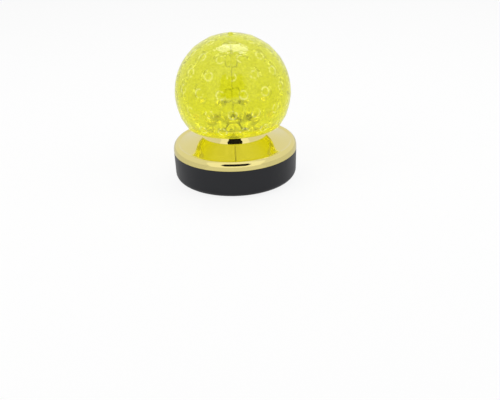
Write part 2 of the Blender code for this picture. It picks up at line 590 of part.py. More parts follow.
def make_boards():
    """Main board with its sockets, and the key board with its keys and switch."""
    board = box("main_board", (-MAIN_BOARD_HALF_WIDTH, MAIN_BOARD_FRONT_Y, BOARD_BOTTOM_Z),
                (MAIN_BOARD_HALF_WIDTH, KEY_FACE_Y, MAIN_BOARD_Z), "board_green")
    for number, side in enumerate((-1, 1), 1):
        hole = cylinder(f"cut_board_screw_{number}", SMALL_SCREW_SHANK + GAP, BOARD_BOTTOM_Z - OVERRUN,
                        MAIN_BOARD_Z + OVERRUN, None, side * BOARD_POST_X, BOARD_POST_Y)
        boolean(board, hole)
        make_screw(f"board_screw_{number}", SMALL_SCREW_SHANK, SMALL_SCREW_HEAD, SMALL_SCREW_HEAD_HEIGHT,
                   side * BOARD_POST_X, BOARD_POST_Y, SOCKET_SEAT_Z, FLOOR_TOP_Z + GAP)
    seat_z = SOCKET_SEAT_Z
    front_y = SOCKET_BACK_Y - SOCKET_DEPTH
    usb = box("usb_socket", (USB_X - USB_WIDTH / 2, front_y, seat_z),
              (USB_X + USB_WIDTH / 2, SOCKET_BACK_Y, seat_z + USB_HEIGHT), "steel")
    usb_z = seat_z + USB_HEIGHT / 2
    mouth = box("cut_usb_inside",
                (USB_X - USB_MOUTH_WIDTH / 2, SOCKET_BACK_Y - USB_MOUTH_DEPTH, usb_z - USB_MOUTH_HEIGHT / 2),
                (USB_X + USB_MOUTH_WIDTH / 2, SOCKET_BACK_Y + OVERRUN, usb_z + USB_MOUTH_HEIGHT / 2), None)
    boolean(usb, mouth)
    card = box("card_slot", (CARD_X - CARD_WIDTH / 2, front_y, seat_z),
               (CARD_X + CARD_WIDTH / 2, SOCKET_BACK_Y, seat_z + CARD_HEIGHT), "steel")
    card_z = seat_z + CARD_HEIGHT / 2
    mouth = box("cut_card_inside",
                (CARD_X - CARD_MOUTH_WIDTH / 2, front_y + OVERRUN, card_z - CARD_MOUTH_HEIGHT / 2),
                (CARD_X + CARD_MOUTH_WIDTH / 2, SOCKET_BACK_Y + OVERRUN, card_z + CARD_MOUTH_HEIGHT / 2),
                None)
    boolean(card, mouth)
    jack = box("power_jack", (JACK_X - JACK_WIDTH / 2, front_y, seat_z),
               (JACK_X + JACK_WIDTH / 2, SOCKET_BACK_Y, seat_z + JACK_HEIGHT), "black_plastic")
    jack_z = seat_z + JACK_HEIGHT / 2
    bore = cylinder("cut_jack_bore", JACK_HOLE_RADIUS, front_y + OVERRUN, SOCKET_BACK_Y + OVERRUN, None,
                    JACK_X, jack_z, along='Y')
    boolean(jack, bore)
    pin = cylinder("cut_jack_pin", JACK_PIN_RADIUS, front_y + OVERRUN / 2, SOCKET_BACK_Y - OVERRUN, None,
                   JACK_X, jack_z, along='Y')
    boolean(jack, pin, 'UNION')
    board_right = JACK_X - JACK_WIDTH / 2 - KEY_BOARD_CLEARANCE
    box("key_board",
        (KEY_BOARD_MARGIN - PANEL_HALF_WIDTH, KEY_FACE_Y - BOARD_THICKNESS, KEY_Z - KEY_BOARD_HEIGHT / 2),
        (board_right, KEY_FACE_Y, KEY_Z + KEY_BOARD_HEIGHT / 2), "board_green")


def make_screw(name, shank, head, head_height, x, y, seat, tip, down=True):
    """A slotted screw, with its head above its seat, or below it where down is False."""
    top = seat + head_height if down else seat - head_height
    profile = [(0, top), (head, top), (head, seat), (shank, seat), (shank, tip), (0, tip)]
    if not down:
        profile.reverse()
    screw = turned(name, profile, "steel", THIN_STEPS, location=(x, y, 0))
    slot = box(f"cut_{name}", (x - head, y - DRIVE_WIDTH / 2, top - DRIVE_DEPTH),
               (x + head, y + DRIVE_WIDTH / 2, top + DRIVE_DEPTH), None)
    boolean(screw, slot)


def make_controls():
    """Three keys and a slide switch, with the caps that reach through the panel."""
    tact_back = KEY_FACE_Y + GAP
    for number, (name, x) in enumerate(zip(KEY_NAMES, KEY_X), 1):
        box(f"key_switch_{number}", (x - KEY_BODY / 2, tact_back, KEY_Z - KEY_BODY / 2),
            (x + KEY_BODY / 2, tact_back + KEY_BODY_DEPTH, KEY_Z + KEY_BODY / 2), "grey_plastic")
        profile = [(0, PANEL_FACE_Y + BUTTON_REACH), (BUTTON_RADIUS - GAP, PANEL_FACE_Y + BUTTON_REACH),
                   (BUTTON_RADIUS, PANEL_FACE_Y + BUTTON_REACH - GAP),
                   (BUTTON_RADIUS, PANEL_BACK_Y - GAP), (BUTTON_FLANGE_RADIUS, PANEL_BACK_Y - GAP),
                   (BUTTON_FLANGE_RADIUS, FLANGE_BACK_Y), (0, FLANGE_BACK_Y)]
        cap = turned(f"button_{name}", profile, "grey_plastic", SMALL_STEPS, location=(x, 0, KEY_Z))
        cap.rotation_euler = (math.radians(-90), 0, 0)
    box("switch_body", (SWITCH_X - SWITCH_BODY_WIDTH / 2, tact_back, KEY_Z - SWITCH_BODY_HEIGHT / 2),
        (SWITCH_X + SWITCH_BODY_WIDTH / 2, FLANGE_BACK_Y - GAP, KEY_Z + SWITCH_BODY_HEIGHT / 2),
        "grey_plastic")
    knob_x = SWITCH_X - SWITCH_TRAVEL / 2
    knob = box("switch_knob",
               (knob_x - KNOB_FLANGE_WIDTH / 2, FLANGE_BACK_Y, KEY_Z - KNOB_FLANGE_HEIGHT / 2),
               (knob_x + KNOB_FLANGE_WIDTH / 2, PANEL_BACK_Y - GAP, KEY_Z + KNOB_FLANGE_HEIGHT / 2),
               "grey_plastic")
    stub = box("cut_knob_stub",
               (knob_x - KNOB_WIDTH / 2, FLANGE_BACK_Y + BUTTON_FLANGE / 2, KEY_Z - KNOB_HEIGHT / 2),
               (knob_x + KNOB_WIDTH / 2, PANEL_FACE_Y + KNOB_REACH, KEY_Z + KNOB_HEIGHT / 2), None)
    boolean(knob, stub, 'UNION')


def make_speaker():
    """Loudspeaker: pressed basket, paper cone and magnet, facing down."""
    seat = FLOOR_TOP_Z + GAP
    flange_top = seat + SPEAKER_FLANGE
    neck_top = seat + SPEAKER_NECK_HEIGHT
    place = (0, SPEAKER_Y, 0)
    wall = SPEAKER_BASKET_WALL
    profile = [(MAGNET_RADIUS / 2, neck_top), (SPEAKER_NECK_RADIUS, neck_top),
               (SPEAKER_RADIUS - wall, flange_top), (SPEAKER_RADIUS, flange_top), (SPEAKER_RADIUS, seat),
               (SPEAKER_RADIUS - 2 * wall, seat), (SPEAKER_NECK_RADIUS - wall, neck_top - wall),
               (MAGNET_RADIUS / 2, neck_top - wall)]
    smooth(turned("speaker_frame", profile, "steel", MIDDLE_STEPS, closed=True, location=place))
    throat_z = neck_top - wall - GAP
    mouth_z = neck_top - CONE_DEPTH
    profile = [(0, throat_z), (CONE_THROAT_RADIUS, throat_z), (CONE_MOUTH_RADIUS, mouth_z),
               (CONE_MOUTH_RADIUS, mouth_z - CONE_WALL), (CONE_THROAT_RADIUS, throat_z - CONE_WALL),
               (0, throat_z - CONE_WALL)]
    smooth(turned("speaker_cone", profile, "paper", MIDDLE_STEPS, location=place))
    cylinder("speaker_magnet", MAGNET_RADIUS, neck_top + GAP, neck_top + GAP + MAGNET_HEIGHT, "ferrite",
             0, SPEAKER_Y, MIDDLE_STEPS)


def make_motor():
    """Geared motor on two posts under the hub, its screws and the bush for its shaft."""
    gearbox = cylinder("motor_gearbox", GEARBOX_RADIUS, GEARBOX_BOTTOM_Z, GEARBOX_TOP_Z, "steel",
                       steps=MIDDLE_STEPS)
    reach = MOTOR_SCREW_CIRCLE + EAR_END
    ears = box("cut_gearbox_ears", (-reach, -EAR_WIDTH / 2, GEARBOX_TOP_Z - EAR_HEIGHT),
               (reach, EAR_WIDTH / 2, GEARBOX_TOP_Z), None)
    boolean(gearbox, ears, 'UNION')
    shaft_hole = cylinder("cut_gearbox_shaft", SHAFT_RADIUS + GAP, GEARBOX_TOP_Z - SHAFT_SINK - GAP,
                          GEARBOX_TOP_Z + OVERRUN, None)
    boolean(gearbox, shaft_hole)
    for number, side in enumerate((-1, 1), 1):
        x = side * MOTOR_SCREW_CIRCLE
        hole = cylinder(f"cut_ear_hole_{number}", SMALL_SCREW_SHANK + GAP,
                        GEARBOX_TOP_Z - EAR_HEIGHT - OVERRUN, GEARBOX_TOP_Z + OVERRUN, None, x, 0)
        boolean(gearbox, hole)
        make_screw(f"motor_screw_{number}", SMALL_SCREW_SHANK, SMALL_SCREW_HEAD, SMALL_SCREW_HEAD_HEIGHT,
                   x, 0, GEARBOX_TOP_Z - EAR_HEIGHT - GAP, HUB_UNDERSIDE_Z - GAP, down=False)
    cylinder("motor_can", MOTOR_RADIUS, GEARBOX_BOTTOM_Z - GAP - MOTOR_HEIGHT, GEARBOX_BOTTOM_Z - GAP,
             "steel", steps=MIDDLE_STEPS)
    inner = SHAFT_RADIUS + GAP
    profile = [(inner, BUSH_TOP_Z), (BUSH_FLANGE_RADIUS, BUSH_TOP_Z), (BUSH_FLANGE_RADIUS, HUB_TOP_Z + GAP),
               (BUSH_RADIUS, HUB_TOP_Z + GAP), (BUSH_RADIUS, GEARBOX_TOP_Z + GAP),
               (inner, GEARBOX_TOP_Z + GAP)]
    smooth(turned("shaft_bush", profile, "brass", SMALL_STEPS, closed=True))


def make_rotor():
    """The turning pieces: shaft, coupling, rod, ball hub, ball and pole cap."""
    shaft_top = COUPLING_BOTTOM_Z + SHAFT_GRIP
    cylinder("motor_shaft", SHAFT_RADIUS, GEARBOX_TOP_Z - SHAFT_SINK, shaft_top, "steel")
    coupling = cylinder("shaft_coupling", COUPLING_RADIUS, COUPLING_BOTTOM_Z, COUPLING_TOP_Z,
                        "black_plastic", steps=MIDDLE_STEPS)
    socket = cylinder("cut_coupling_shaft", SHAFT_RADIUS + GAP, COUPLING_BOTTOM_Z - OVERRUN, shaft_top + GAP,
                      None)
    boolean(coupling, socket)
    rod_bottom = COUPLING_TOP_Z - ROD_GRIP
    rod_top = BALL_HUB_BOTTOM_Z + ROD_GRIP
    socket = cylinder("cut_coupling_rod", ROD_RADIUS + GAP, rod_bottom - GAP, COUPLING_TOP_Z + OVERRUN, None)
    boolean(coupling, socket)
    cylinder("spindle_rod", ROD_RADIUS, rod_bottom, rod_top, "steel", steps=THIN_STEPS)
    hub = cylinder("ball_hub", BALL_HUB_RADIUS, BALL_HUB_BOTTOM_Z, BALL_HUB_TOP_Z - BALL_WALL / 4,
                   "led_resin", steps=MIDDLE_STEPS)
    socket = cylinder("cut_hub_rod", ROD_RADIUS + GAP, BALL_HUB_BOTTOM_Z - OVERRUN, rod_top + GAP, None)
    boolean(hub, socket)
    shank_bottom = CAP_SEAT_Z - CAP_SHANK_LENGTH
    socket = cylinder("cut_hub_cap", SHANK_RADIUS + GAP, shank_bottom - GAP, BALL_HUB_TOP_Z + OVERRUN, None)
    boolean(hub, socket)
    profile = [(0, CAP_SEAT_Z + CAP_HEIGHT), (CAP_RADIUS / 2, CAP_SEAT_Z + CAP_HEIGHT),
               (CAP_RADIUS, CAP_SEAT_Z + CAP_HEIGHT / 2), (CAP_RADIUS, CAP_SEAT_Z),
               (SHANK_RADIUS, CAP_SEAT_Z), (SHANK_RADIUS, shank_bottom), (0, shank_bottom)]
    smooth(turned("cap_screw", profile, "black_plastic", SMALL_STEPS))
    make_ball()


def arc_points(radius, start, end, count):
    """Points of a circle about the ball's centre, at angles from its pole."""
    points = []
    for step in range(count + 1):
        angle = start + (end - start) * step / count
        points.append((radius * math.sin(angle), BALL_CENTRE_Z + radius * math.cos(angle)))
    return points


def make_ball():
    """Clear shell, open below, with rows of round lens bumps on its outside."""
    inner_radius = BALL_RADIUS - BALL_WALL
    outer = arc_points(BALL_RADIUS, math.asin(POLE_HOLE_RADIUS / BALL_RADIUS),
                       math.acos(-BALL_LIP_DROP / BALL_RADIUS), BALL_OUTER_RINGS)
    inner = arc_points(inner_radius, math.acos(-BALL_LIP_DROP / inner_radius),
                       math.asin(POLE_HOLE_RADIUS / inner_radius), BALL_INNER_RINGS)
    ball = turned("crystal_ball", outer + inner, "clear_yellow", BALL_STEPS, closed=True)
    boolean(ball, make_lenses(), 'UNION')
    smooth(ball, 50)


def make_lenses():
    """All lens bumps as flat round ellipsoids set into the ball's surface, row by row."""
    bm = bmesh.new()
    flat = Matrix.Diagonal((LENS_RADIUS, LENS_RADIUS, LENS_RISE, 1))
    seat = BALL_RADIUS - LENS_SINK
    for latitude, count, half_step in zip(LENS_LATITUDES, LENS_COUNTS, LENS_HALF_STEP):
        for number in range(count):
            turn = 2 * math.pi * (number + (0.5 if half_step else 0)) / count - math.pi / 2
            place = (Matrix.Translation((0, 0, BALL_CENTRE_Z)) @ Matrix.Rotation(turn, 4, 'Z')
                     @ Matrix.Rotation(math.radians(90 - latitude), 4, 'Y')
                     @ Matrix.Translation((0, 0, seat)) @ flat)
            bmesh.ops.create_uvsphere(bm, u_segments=LENS_SIDES, v_segments=LENS_RINGS, radius=1,
                                      matrix=place)
    return add_object("cut_lenses", bm, None)


def make_lamp_board():
    """White round board on the hub, with its light sources and the receiver."""
    ring("led_board", BUSH_FLANGE_RADIUS + LED_BOARD_CLEARANCE, LED_BOARD_RADIUS, HUB_TOP_Z + GAP,
         LED_BOARD_Z, "white_board", MIDDLE_STEPS)
    seat = LED_BOARD_Z + GAP
    dome_z = seat + LED_HEIGHT - LED_RADIUS
    for number in range(LED_COUNT):
        x, y = on_circle(LED_CIRCLE, 360 * (number + 0.5) / LED_COUNT)
        dome = [math.radians(turn) for turn in (0, 45, 90)]
        profile = [(LED_RADIUS * math.sin(turn), dome_z + LED_RADIUS * math.cos(turn)) for turn in dome]
        profile += [(LED_RADIUS, seat + LED_RIM), (LED_RIM_RADIUS, seat + LED_RIM),
                    (LED_RIM_RADIUS, seat), (0, seat)]
        smooth(turned(f"led_{number + 1}", profile, "led_resin", THIN_STEPS, location=(x, y, 0)))
    x, y = on_circle(RECEIVER_CIRCLE, RECEIVER_ANGLE)
    box("ir_receiver", (x - RECEIVER_WIDTH / 2, y - RECEIVER_DEPTH / 2, seat),
        (x + RECEIVER_WIDTH / 2, y + RECEIVER_DEPTH / 2, seat + RECEIVER_HEIGHT), "black_plastic")


def make_lead(name, finish, route):
    """A thin lead as a round tube along a smooth curve through its route."""
    points = [Vector(point) for point in route]
    smooth_points = []
    for index in range(len(points) - 1):
        before = points[max(index - 1, 0)]
        start, end = points[index], points[index + 1]
        after = points[min(index + 2, len(points) - 1)]
        for step in range(LEAD_STEPS):
            t = step / LEAD_STEPS
            smooth_points.append(0.5 * (2 * start + (end - before) * t
                                        + (2 * before - 5 * start + 4 * end - after) * t ** 2
                                        + (3 * start - before - 3 * end + after) * t ** 3))
    smooth_points.append(points[-1])
    curve = bpy.data.curves.new(name, 'CURVE')
    curve.dimensions = '3D'
    curve.bevel_depth = LEAD_RADIUS
    curve.bevel_resolution = 1
    curve.use_fill_caps = True
    spline = curve.splines.new('POLY')
    spline.points.add(len(smooth_points) - 1)
    for point, place in zip(spline.points, smooth_points):
        point.co = (*place, 1)
    curve.materials.append(MATERIALS[finish])
    PARTS.objects.link(bpy.data.objects.new(name, curve))


def make_leads():
    """Leads from motor, lamp board and loudspeaker to the main board."""
    end_z = SOCKET_SEAT_Z
    motor_z = GEARBOX_BOTTOM_Z - GAP - MOTOR_HEIGHT - GAP
    end_y = MAIN_BOARD_FRONT_Y + LEAD_END_INSET
    make_lead("motor_lead", "red_wire", [
        (0, MOTOR_LEAD_Y, motor_z), (0, MOTOR_LEAD_Y, motor_z - LEAD_STRAIGHT),
        (-MOTOR_LEAD_Y, (MOTOR_LEAD_Y + end_y) / 2, (motor_z + end_z) / 2),
        (-2 * MOTOR_LEAD_Y, end_y, end_z + 2 * LEAD_STRAIGHT), (-2 * MOTOR_LEAD_Y, end_y, end_z)])
    make_lead("lamp_lead", "white_board", [
        (0, LAMP_LEAD_Y, HUB_TOP_Z), (0, LAMP_LEAD_Y, HUB_UNDERSIDE_Z - LEAD_STRAIGHT),
        (LEAD_STRAIGHT, LAMP_LEAD_Y, (HUB_UNDERSIDE_Z + end_z) / 2),
        (0, end_y, end_z + 2 * LEAD_STRAIGHT), (0, end_y, end_z)])
    neck_z = FLOOR_TOP_Z + GAP + SPEAKER_NECK_HEIGHT + GAP
    start_y = SPEAKER_Y + (MAGNET_RADIUS + SPEAKER_NECK_RADIUS) / 2
    make_lead("speaker_lead", "black_plastic", [
        (0, start_y, neck_z), (0, start_y, neck_z + LEAD_STRAIGHT),
        (SPEAKER_LEAD_X, (start_y + end_y) / 2, neck_z + 2 * LEAD_STRAIGHT),
        (SPEAKER_LEAD_X, end_y, end_z + LEAD_STRAIGHT), (SPEAKER_LEAD_X, end_y, end_z)])


def make_feet_and_screws():
    """Rubber feet in their seats, and the cover screws in their posts."""
    for number, degrees in enumerate(FOOT_ANGLES, 1):
        x, y = on_circle(FOOT_CIRCLE, degrees)
        top = FOOT_REACH + FOOT_SEAT_DEPTH - GAP
        profile = [(0, top), (FOOT_RADIUS, top), (FOOT_RADIUS, FOOT_EDGE), (FOOT_RADIUS - FOOT_EDGE, 0),
                   (0, 0)]
        smooth(turned(f"foot_{number}", profile, "rubber", SMALL_STEPS, location=(x, y, 0)))
    for number, degrees in enumerate(SCREW_ANGLES, 1):
        x, y = on_circle(SCREW_CIRCLE, degrees)
        make_screw(f"cover_screw_{number}", SHANK_RADIUS, HEAD_RADIUS, HEAD_HEIGHT, x, y,
                   FOOT_REACH + HEAD_RECESS - GAP, POST_TOP_Z + SHANK_LENGTH, down=False)


def main():
    make_housing()
    make_top_plate()
    make_panel()
    make_boards()
    make_controls()
    make_speaker()
    make_motor()
    make_rotor()
    make_lamp_board()
    make_leads()
    make_feet_and_screws()


main()
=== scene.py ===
# %% [markdown]
# # A lit disco ball lamp
# A clear plastic ball, covered in small lens bumps, turns on a round base with a gold top and a
# black bowl below. This notebook dresses the imported CAD model: it keeps every size and place,
# turns the round pieces with fine steps, and gives each piece a finish made of shader nodes.
# We load the model first. The finished lamp has to stay inside it.
# Blender counts in metres, so a length in millimetres is written as a number times MM.

# %% Load the imported model
import bpy, bmesh, json, math
from mathutils import Matrix, Vector


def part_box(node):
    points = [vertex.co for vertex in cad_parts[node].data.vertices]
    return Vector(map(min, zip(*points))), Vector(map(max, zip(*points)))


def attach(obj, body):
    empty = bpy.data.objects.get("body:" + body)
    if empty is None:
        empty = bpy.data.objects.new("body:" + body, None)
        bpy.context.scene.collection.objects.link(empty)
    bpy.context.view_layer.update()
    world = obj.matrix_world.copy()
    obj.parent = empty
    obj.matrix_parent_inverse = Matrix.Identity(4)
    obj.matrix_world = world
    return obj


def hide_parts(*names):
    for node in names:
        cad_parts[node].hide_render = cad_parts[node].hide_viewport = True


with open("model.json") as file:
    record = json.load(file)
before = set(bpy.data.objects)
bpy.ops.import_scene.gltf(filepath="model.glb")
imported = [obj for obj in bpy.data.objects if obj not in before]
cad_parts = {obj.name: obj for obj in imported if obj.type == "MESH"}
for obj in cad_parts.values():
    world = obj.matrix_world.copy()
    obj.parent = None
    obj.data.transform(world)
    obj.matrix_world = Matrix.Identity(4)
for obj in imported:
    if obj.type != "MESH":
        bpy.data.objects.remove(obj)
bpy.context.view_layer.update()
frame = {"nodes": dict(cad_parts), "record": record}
NODES = frame["nodes"]
MM = 0.001

# %% [markdown]
# ## The camera
# The photograph looks down on the lamp by about 26 degrees from 0.87 m away. Those numbers come
# from the ellipses of the base and the ball's outline. A camera in Blender looks along its own -Z,
# so a turn about X alone sets how far it looks down, and a small turn about its own Z before that
# tilts the picture to match. Its place could be found by trial, but measured numbers save that.

# %% Camera
CAMERA_PLACE = (0.0132, -0.7937, 0.3492)
LOOK_DOWN = Matrix.Rotation(math.radians(64.42), 4, 'X')
ROLL = Matrix.Rotation(math.radians(-2.0), 4, 'Z')
FULL_FRAME_WIDTH = 36
FOCAL_LENGTH = 60.3

camera_data = bpy.data.cameras.new("photo_camera")
camera_data.sensor_width = FULL_FRAME_WIDTH
camera_data.lens = FOCAL_LENGTH
camera = bpy.data.objects.new("photo_camera", camera_data)
camera.location = CAMERA_PLACE
camera.rotation_euler = (LOOK_DOWN @ ROLL).to_euler()
bpy.context.scene.collection.objects.link(camera)
bpy.context.scene.camera = camera
print("camera", tuple(round(v, 4) for v in camera.location), "lens", camera_data.lens)

# %% [markdown]
# ## Sums in shader and geometry nodes
# A node tree is a formula in boxes. It could be laid out by hand, box by box, but a long formula
# is easier to read as Python sums. So a small class holds one socket, and each operator adds the
# Math node that does it. Python calls the forms with an r where the number comes first, as in
# 1 - mask. Everything that isn't plain maths goes through one function that takes the node's type,
# its settings and its inputs. The settings come first: they decide which sockets a node shows.

# %% A socket that can be added, multiplied and compared
class Wire:
    """One output socket of a node tree, for use in Python sums."""

    def __init__(self, tree, socket):
        self.tree = tree
        self.socket = socket

    def __add__(self, other):
        return maths("ADD", self, other)

    def __sub__(self, other):
        return maths("SUBTRACT", self, other)

    def __rsub__(self, other):
        return maths("SUBTRACT", other, self)

    def __mul__(self, other):
        return maths("MULTIPLY", self, other)

    def __truediv__(self, other):
        return maths("DIVIDE", self, other)

    def __rtruediv__(self, other):
        return maths("DIVIDE", other, self)

    def __gt__(self, other):
        return maths("GREATER_THAN", self, other)

    def __lt__(self, other):
        return maths("LESS_THAN", self, other)

    __radd__ = __add__
    __rmul__ = __mul__


def add_node(tree, kind, settings=None, *values, output=None, **named):
    """Add a node, set it up, then set or link its inputs, in order or by name.

    The wire that comes back is from the first output, the named one, or a list for several names.
    """
    node = tree.nodes.new(kind)
    for key, value in (settings or {}).items():
        setattr(node, key, value)
    inputs = list(zip([socket for socket in node.inputs if socket.enabled], values))
    inputs += [(node.inputs[name.replace("_", " ")], value) for name, value in named.items()]
    for socket, value in inputs:
        if isinstance(value, Wire):
            tree.links.new(value.socket, socket)
        else:
            socket.default_value = (*value, 1) if socket.type == 'RGBA' else value
    if isinstance(output, (tuple, list)):
        return [Wire(tree, node.outputs[name]) for name in output]
    shown = [socket for socket in node.outputs if socket.enabled and output in (None, socket.name)]
    return Wire(tree, shown[0]) if shown else None


def maths(operation, *values):
    """A Math node on wires and numbers."""
    tree = next(value.tree for value in values if isinstance(value, Wire))
    return add_node(tree, "ShaderNodeMath", {"operation": operation}, *values)


def between(value, low, high):
    """0 below low, 1 above high and a soft step between them."""
    return add_node(value.tree, "ShaderNodeMapRange", {"interpolation_type": "SMOOTHSTEP"},
                    value, low, high)


def mixed(factor, first, second):
    """A colour that goes from first to second as factor goes from 0 to 1."""
    return add_node(factor.tree, "ShaderNodeMix", {"data_type": 'RGBA'}, factor, first, second)


print("sums ready")

# %% [markdown]
# ## Finishes
# A moulded or plated surface is never one flat colour: it has a faint grain, soft wear and tiny
# changes of gloss. An image could carry those, but nodes stay sharp at any distance. Each finish
# starts from one Principled shader. Values that are the same everywhere are set on the shader
# itself. Only colour, glow, roughness and bump vary over a surface, by the piece's own Object
# coordinates, so that a pattern stays put when a piece turns.

# %% A finish and its nodes
class Finish:
    """A Principled material and the nodes that vary it over a surface."""

    def __init__(self, name, **constants):
        self.material = bpy.data.materials.new(name)
        self.material.use_nodes = True
        self.tree = self.material.node_tree
        self.shader = self.tree.nodes["Principled BSDF"]
        for key, value in constants.items():
            self.shader.inputs[key.replace("_", " ")].default_value = value
        self.place = add_node(self.tree, "ShaderNodeTexCoord", output="Object")

    def noise(self, scale, detail=3, roughness=0.5, stretch=None):
        """Soft random values about 0.5, squeezed along an axis where stretch says so."""
        place = self.place
        if stretch:
            place = add_node(self.tree, "ShaderNodeMapping", None, place, Scale=stretch)
        return add_node(self.tree, "ShaderNodeTexNoise", None, Vector=place, Scale=scale,
                        Detail=detail, Roughness=roughness)

    def feed(self, name, value):
        self.tree.links.new(value.socket, self.shader.inputs[name])

    def bump(self, height, strength, distance):
        """A height from 0 to 1, times distance, felt as small dents in the surface."""
        self.feed("Normal", add_node(self.tree, "ShaderNodeBump", None, Strength=strength,
                                     Distance=distance, Height=height))


print("finish helper ready")

# %% [markdown]
# ## Plastics and metals
# Moulded plastic copies the fine grain of its mould and looks slightly mottled; bare metal keeps
# the marks of drawing or turning and has dull spots. One function makes each family, because the
# pieces differ only in colour, gloss and grain. A coarse noise moves the colour, a middle one the
# gloss, and a fine one dents the surface by less than a tenth of a millimetre.

# %% Plastics and metals
GRAIN_DEPTH = 0.08 * MM
MARK_DEPTH = 0.05 * MM


def plastic(name, colour, roughness, grain_scale=900, grain=0.2, shade=0.12, gloss=0.5):
    """Moulded plastic with a fine grain, a slight mottle and a thin skin of gloss."""
    finish = Finish(name, Specular_IOR_Level=gloss)
    darker = tuple(v * (1 - shade) for v in colour)
    finish.feed("Base Color", mixed(finish.noise(45, 4), darker, colour))
    finish.feed("Roughness", finish.noise(120) * 0.14 + (roughness - 0.07))
    finish.bump(finish.noise(grain_scale, 2), grain, GRAIN_DEPTH)
    return finish.material


def metal(name, colour, roughness, stretch=None):
    """Bare or plated metal with fine drawing or turning marks and dull spots."""
    finish = Finish(name, Metallic=1.0)
    marks = finish.noise(400, 3, 0.6, stretch)
    dull = finish.noise(70, 4)
    finish.feed("Base Color", mixed(dull, tuple(v * 0.82 for v in colour), colour))
    finish.feed("Roughness", marks * 0.16 + dull * 0.1 + (roughness - 0.13))
    finish.bump(marks, 0.15, MARK_DEPTH)
    return finish.material


PLASTICS = (
    ("base_black", (0.021, 0.022, 0.026), 0.38,
     {"grain_scale": 1400, "grain": 0.12, "gloss": 0.32}),
    ("panel_black", (0.020, 0.020, 0.022), 0.5, {"grain_scale": 1100, "grain": 0.3}),
    ("grey_plastic", (0.22, 0.225, 0.23), 0.45, {}),
    ("rubber", (0.018, 0.018, 0.018), 0.8, {"grain_scale": 700, "grain": 0.5}),
    ("paper_black", (0.03, 0.03, 0.032), 0.92, {"grain_scale": 500, "grain": 0.8}),
    ("ferrite", (0.05, 0.05, 0.055), 0.6, {"grain_scale": 1500, "grain": 0.4}),
    ("board_white", (0.62, 0.62, 0.56), 0.4, {"grain_scale": 300, "grain": 0.1, "shade": 0.04}),
    ("wire_red", (0.45, 0.02, 0.015), 0.35, {}),
    ("wire_white", (0.75, 0.75, 0.72), 0.35, {}),
    ("wire_black", (0.02, 0.02, 0.02), 0.35, {}))
MATERIALS = {name: plastic(name, colour, roughness, **options)
             for name, colour, roughness, options in PLASTICS}
MATERIALS["steel"] = metal("steel", (0.60, 0.60, 0.61), 0.3)
MATERIALS["brass"] = metal("brass", (0.65, 0.48, 0.2), 0.3, stretch=(1, 1, 8))
print("plain finishes:", ", ".join(sorted(MATERIALS)))

# %% [markdown]
# ## Green circuit boards
# A circuit board is woven glass under a green lacquer, with copper tracks that show as slightly
# lighter lines. The tracks could be drawn one by one, but hardly any of the board shows, so the
# mortar lines of a brick texture give a believable grid of them.

# %% Circuit board
TRACKS_PER_METRE = 260
TRACK_RISE = 0.06 * MM


def board_finish():
    finish = Finish("board_green", Coat_Weight=0.3, Coat_Roughness=0.15)
    place = add_node(finish.tree, "ShaderNodeMapping", None, finish.place,
                     Scale=(TRACKS_PER_METRE,) * 3)
    tracks = add_node(finish.tree, "ShaderNodeTexBrick", {"offset": 0.37}, Vector=place, Scale=1.0,
                      Mortar_Size=0.06, output="Fac")
    blotch = finish.noise(60, 2)
    green = mixed(blotch, (0.012, 0.10, 0.035), (0.02, 0.15, 0.05))
    finish.feed("Base Color", mixed(tracks, green, (0.05, 0.24, 0.09)))
    finish.feed("Roughness", blotch * 0.15 + 0.3)
    finish.bump(tracks, 0.4, TRACK_RISE)
    return finish.material


MATERIALS["board_green"] = board_finish()
print("board finish has", len(MATERIALS["board_green"].node_tree.nodes), "nodes")

# %% [markdown]
# ## Gold plate
# The top is plastic plated with a thin film of pale gold metal: mirror bright, with a very slight
# ripple from the moulding below and a few soft dull patches where fingers have been. A metal's
# colour is the colour of its mirror image, so one pale yellow does most of the work.

# %% Gold plating
MOULD_RIPPLE = 0.1 * MM


def gold_finish():
    finish = Finish("gold_plate", Metallic=1.0)
    patch = finish.noise(28, 4)
    finish.feed("Base Color", mixed(patch, (0.885, 0.77, 0.295), (0.935, 0.82, 0.325)))
    finish.feed("Roughness", between(patch, 0.45, 0.7) * 0.05 + 0.07)
    finish.bump(finish.noise(55, 2), 0.25, MOULD_RIPPLE)
    return finish.material


MATERIALS["gold_plate"] = gold_finish()
print("gold finish made")

# %% [markdown]
# ## The ball's clear plastic, lit yellow
# The ball is clear acrylic with coloured light sources below it. The light runs inside the wall and
# leaves it everywhere, so the ball looks filled with yellow. Lamps inside it could do that too, but
# light through curved glass renders with much noise. So real refraction through modelled lenses
# gives the pattern, and a soft emission in the same material paints the glow. It is strongest low
# down, near the light sources. The base colour is painted palest high up, a painted highlight where
# white light falls on it, and broken bright arcs of emission at the lens edges are a painted
# highlight of the lamps.

# %% The ball's finish
UPPER_PART = (80 * MM, 142 * MM)
LOWER_PART = (45 * MM, 115 * MM)
CAST_RIPPLE = 0.3 * MM


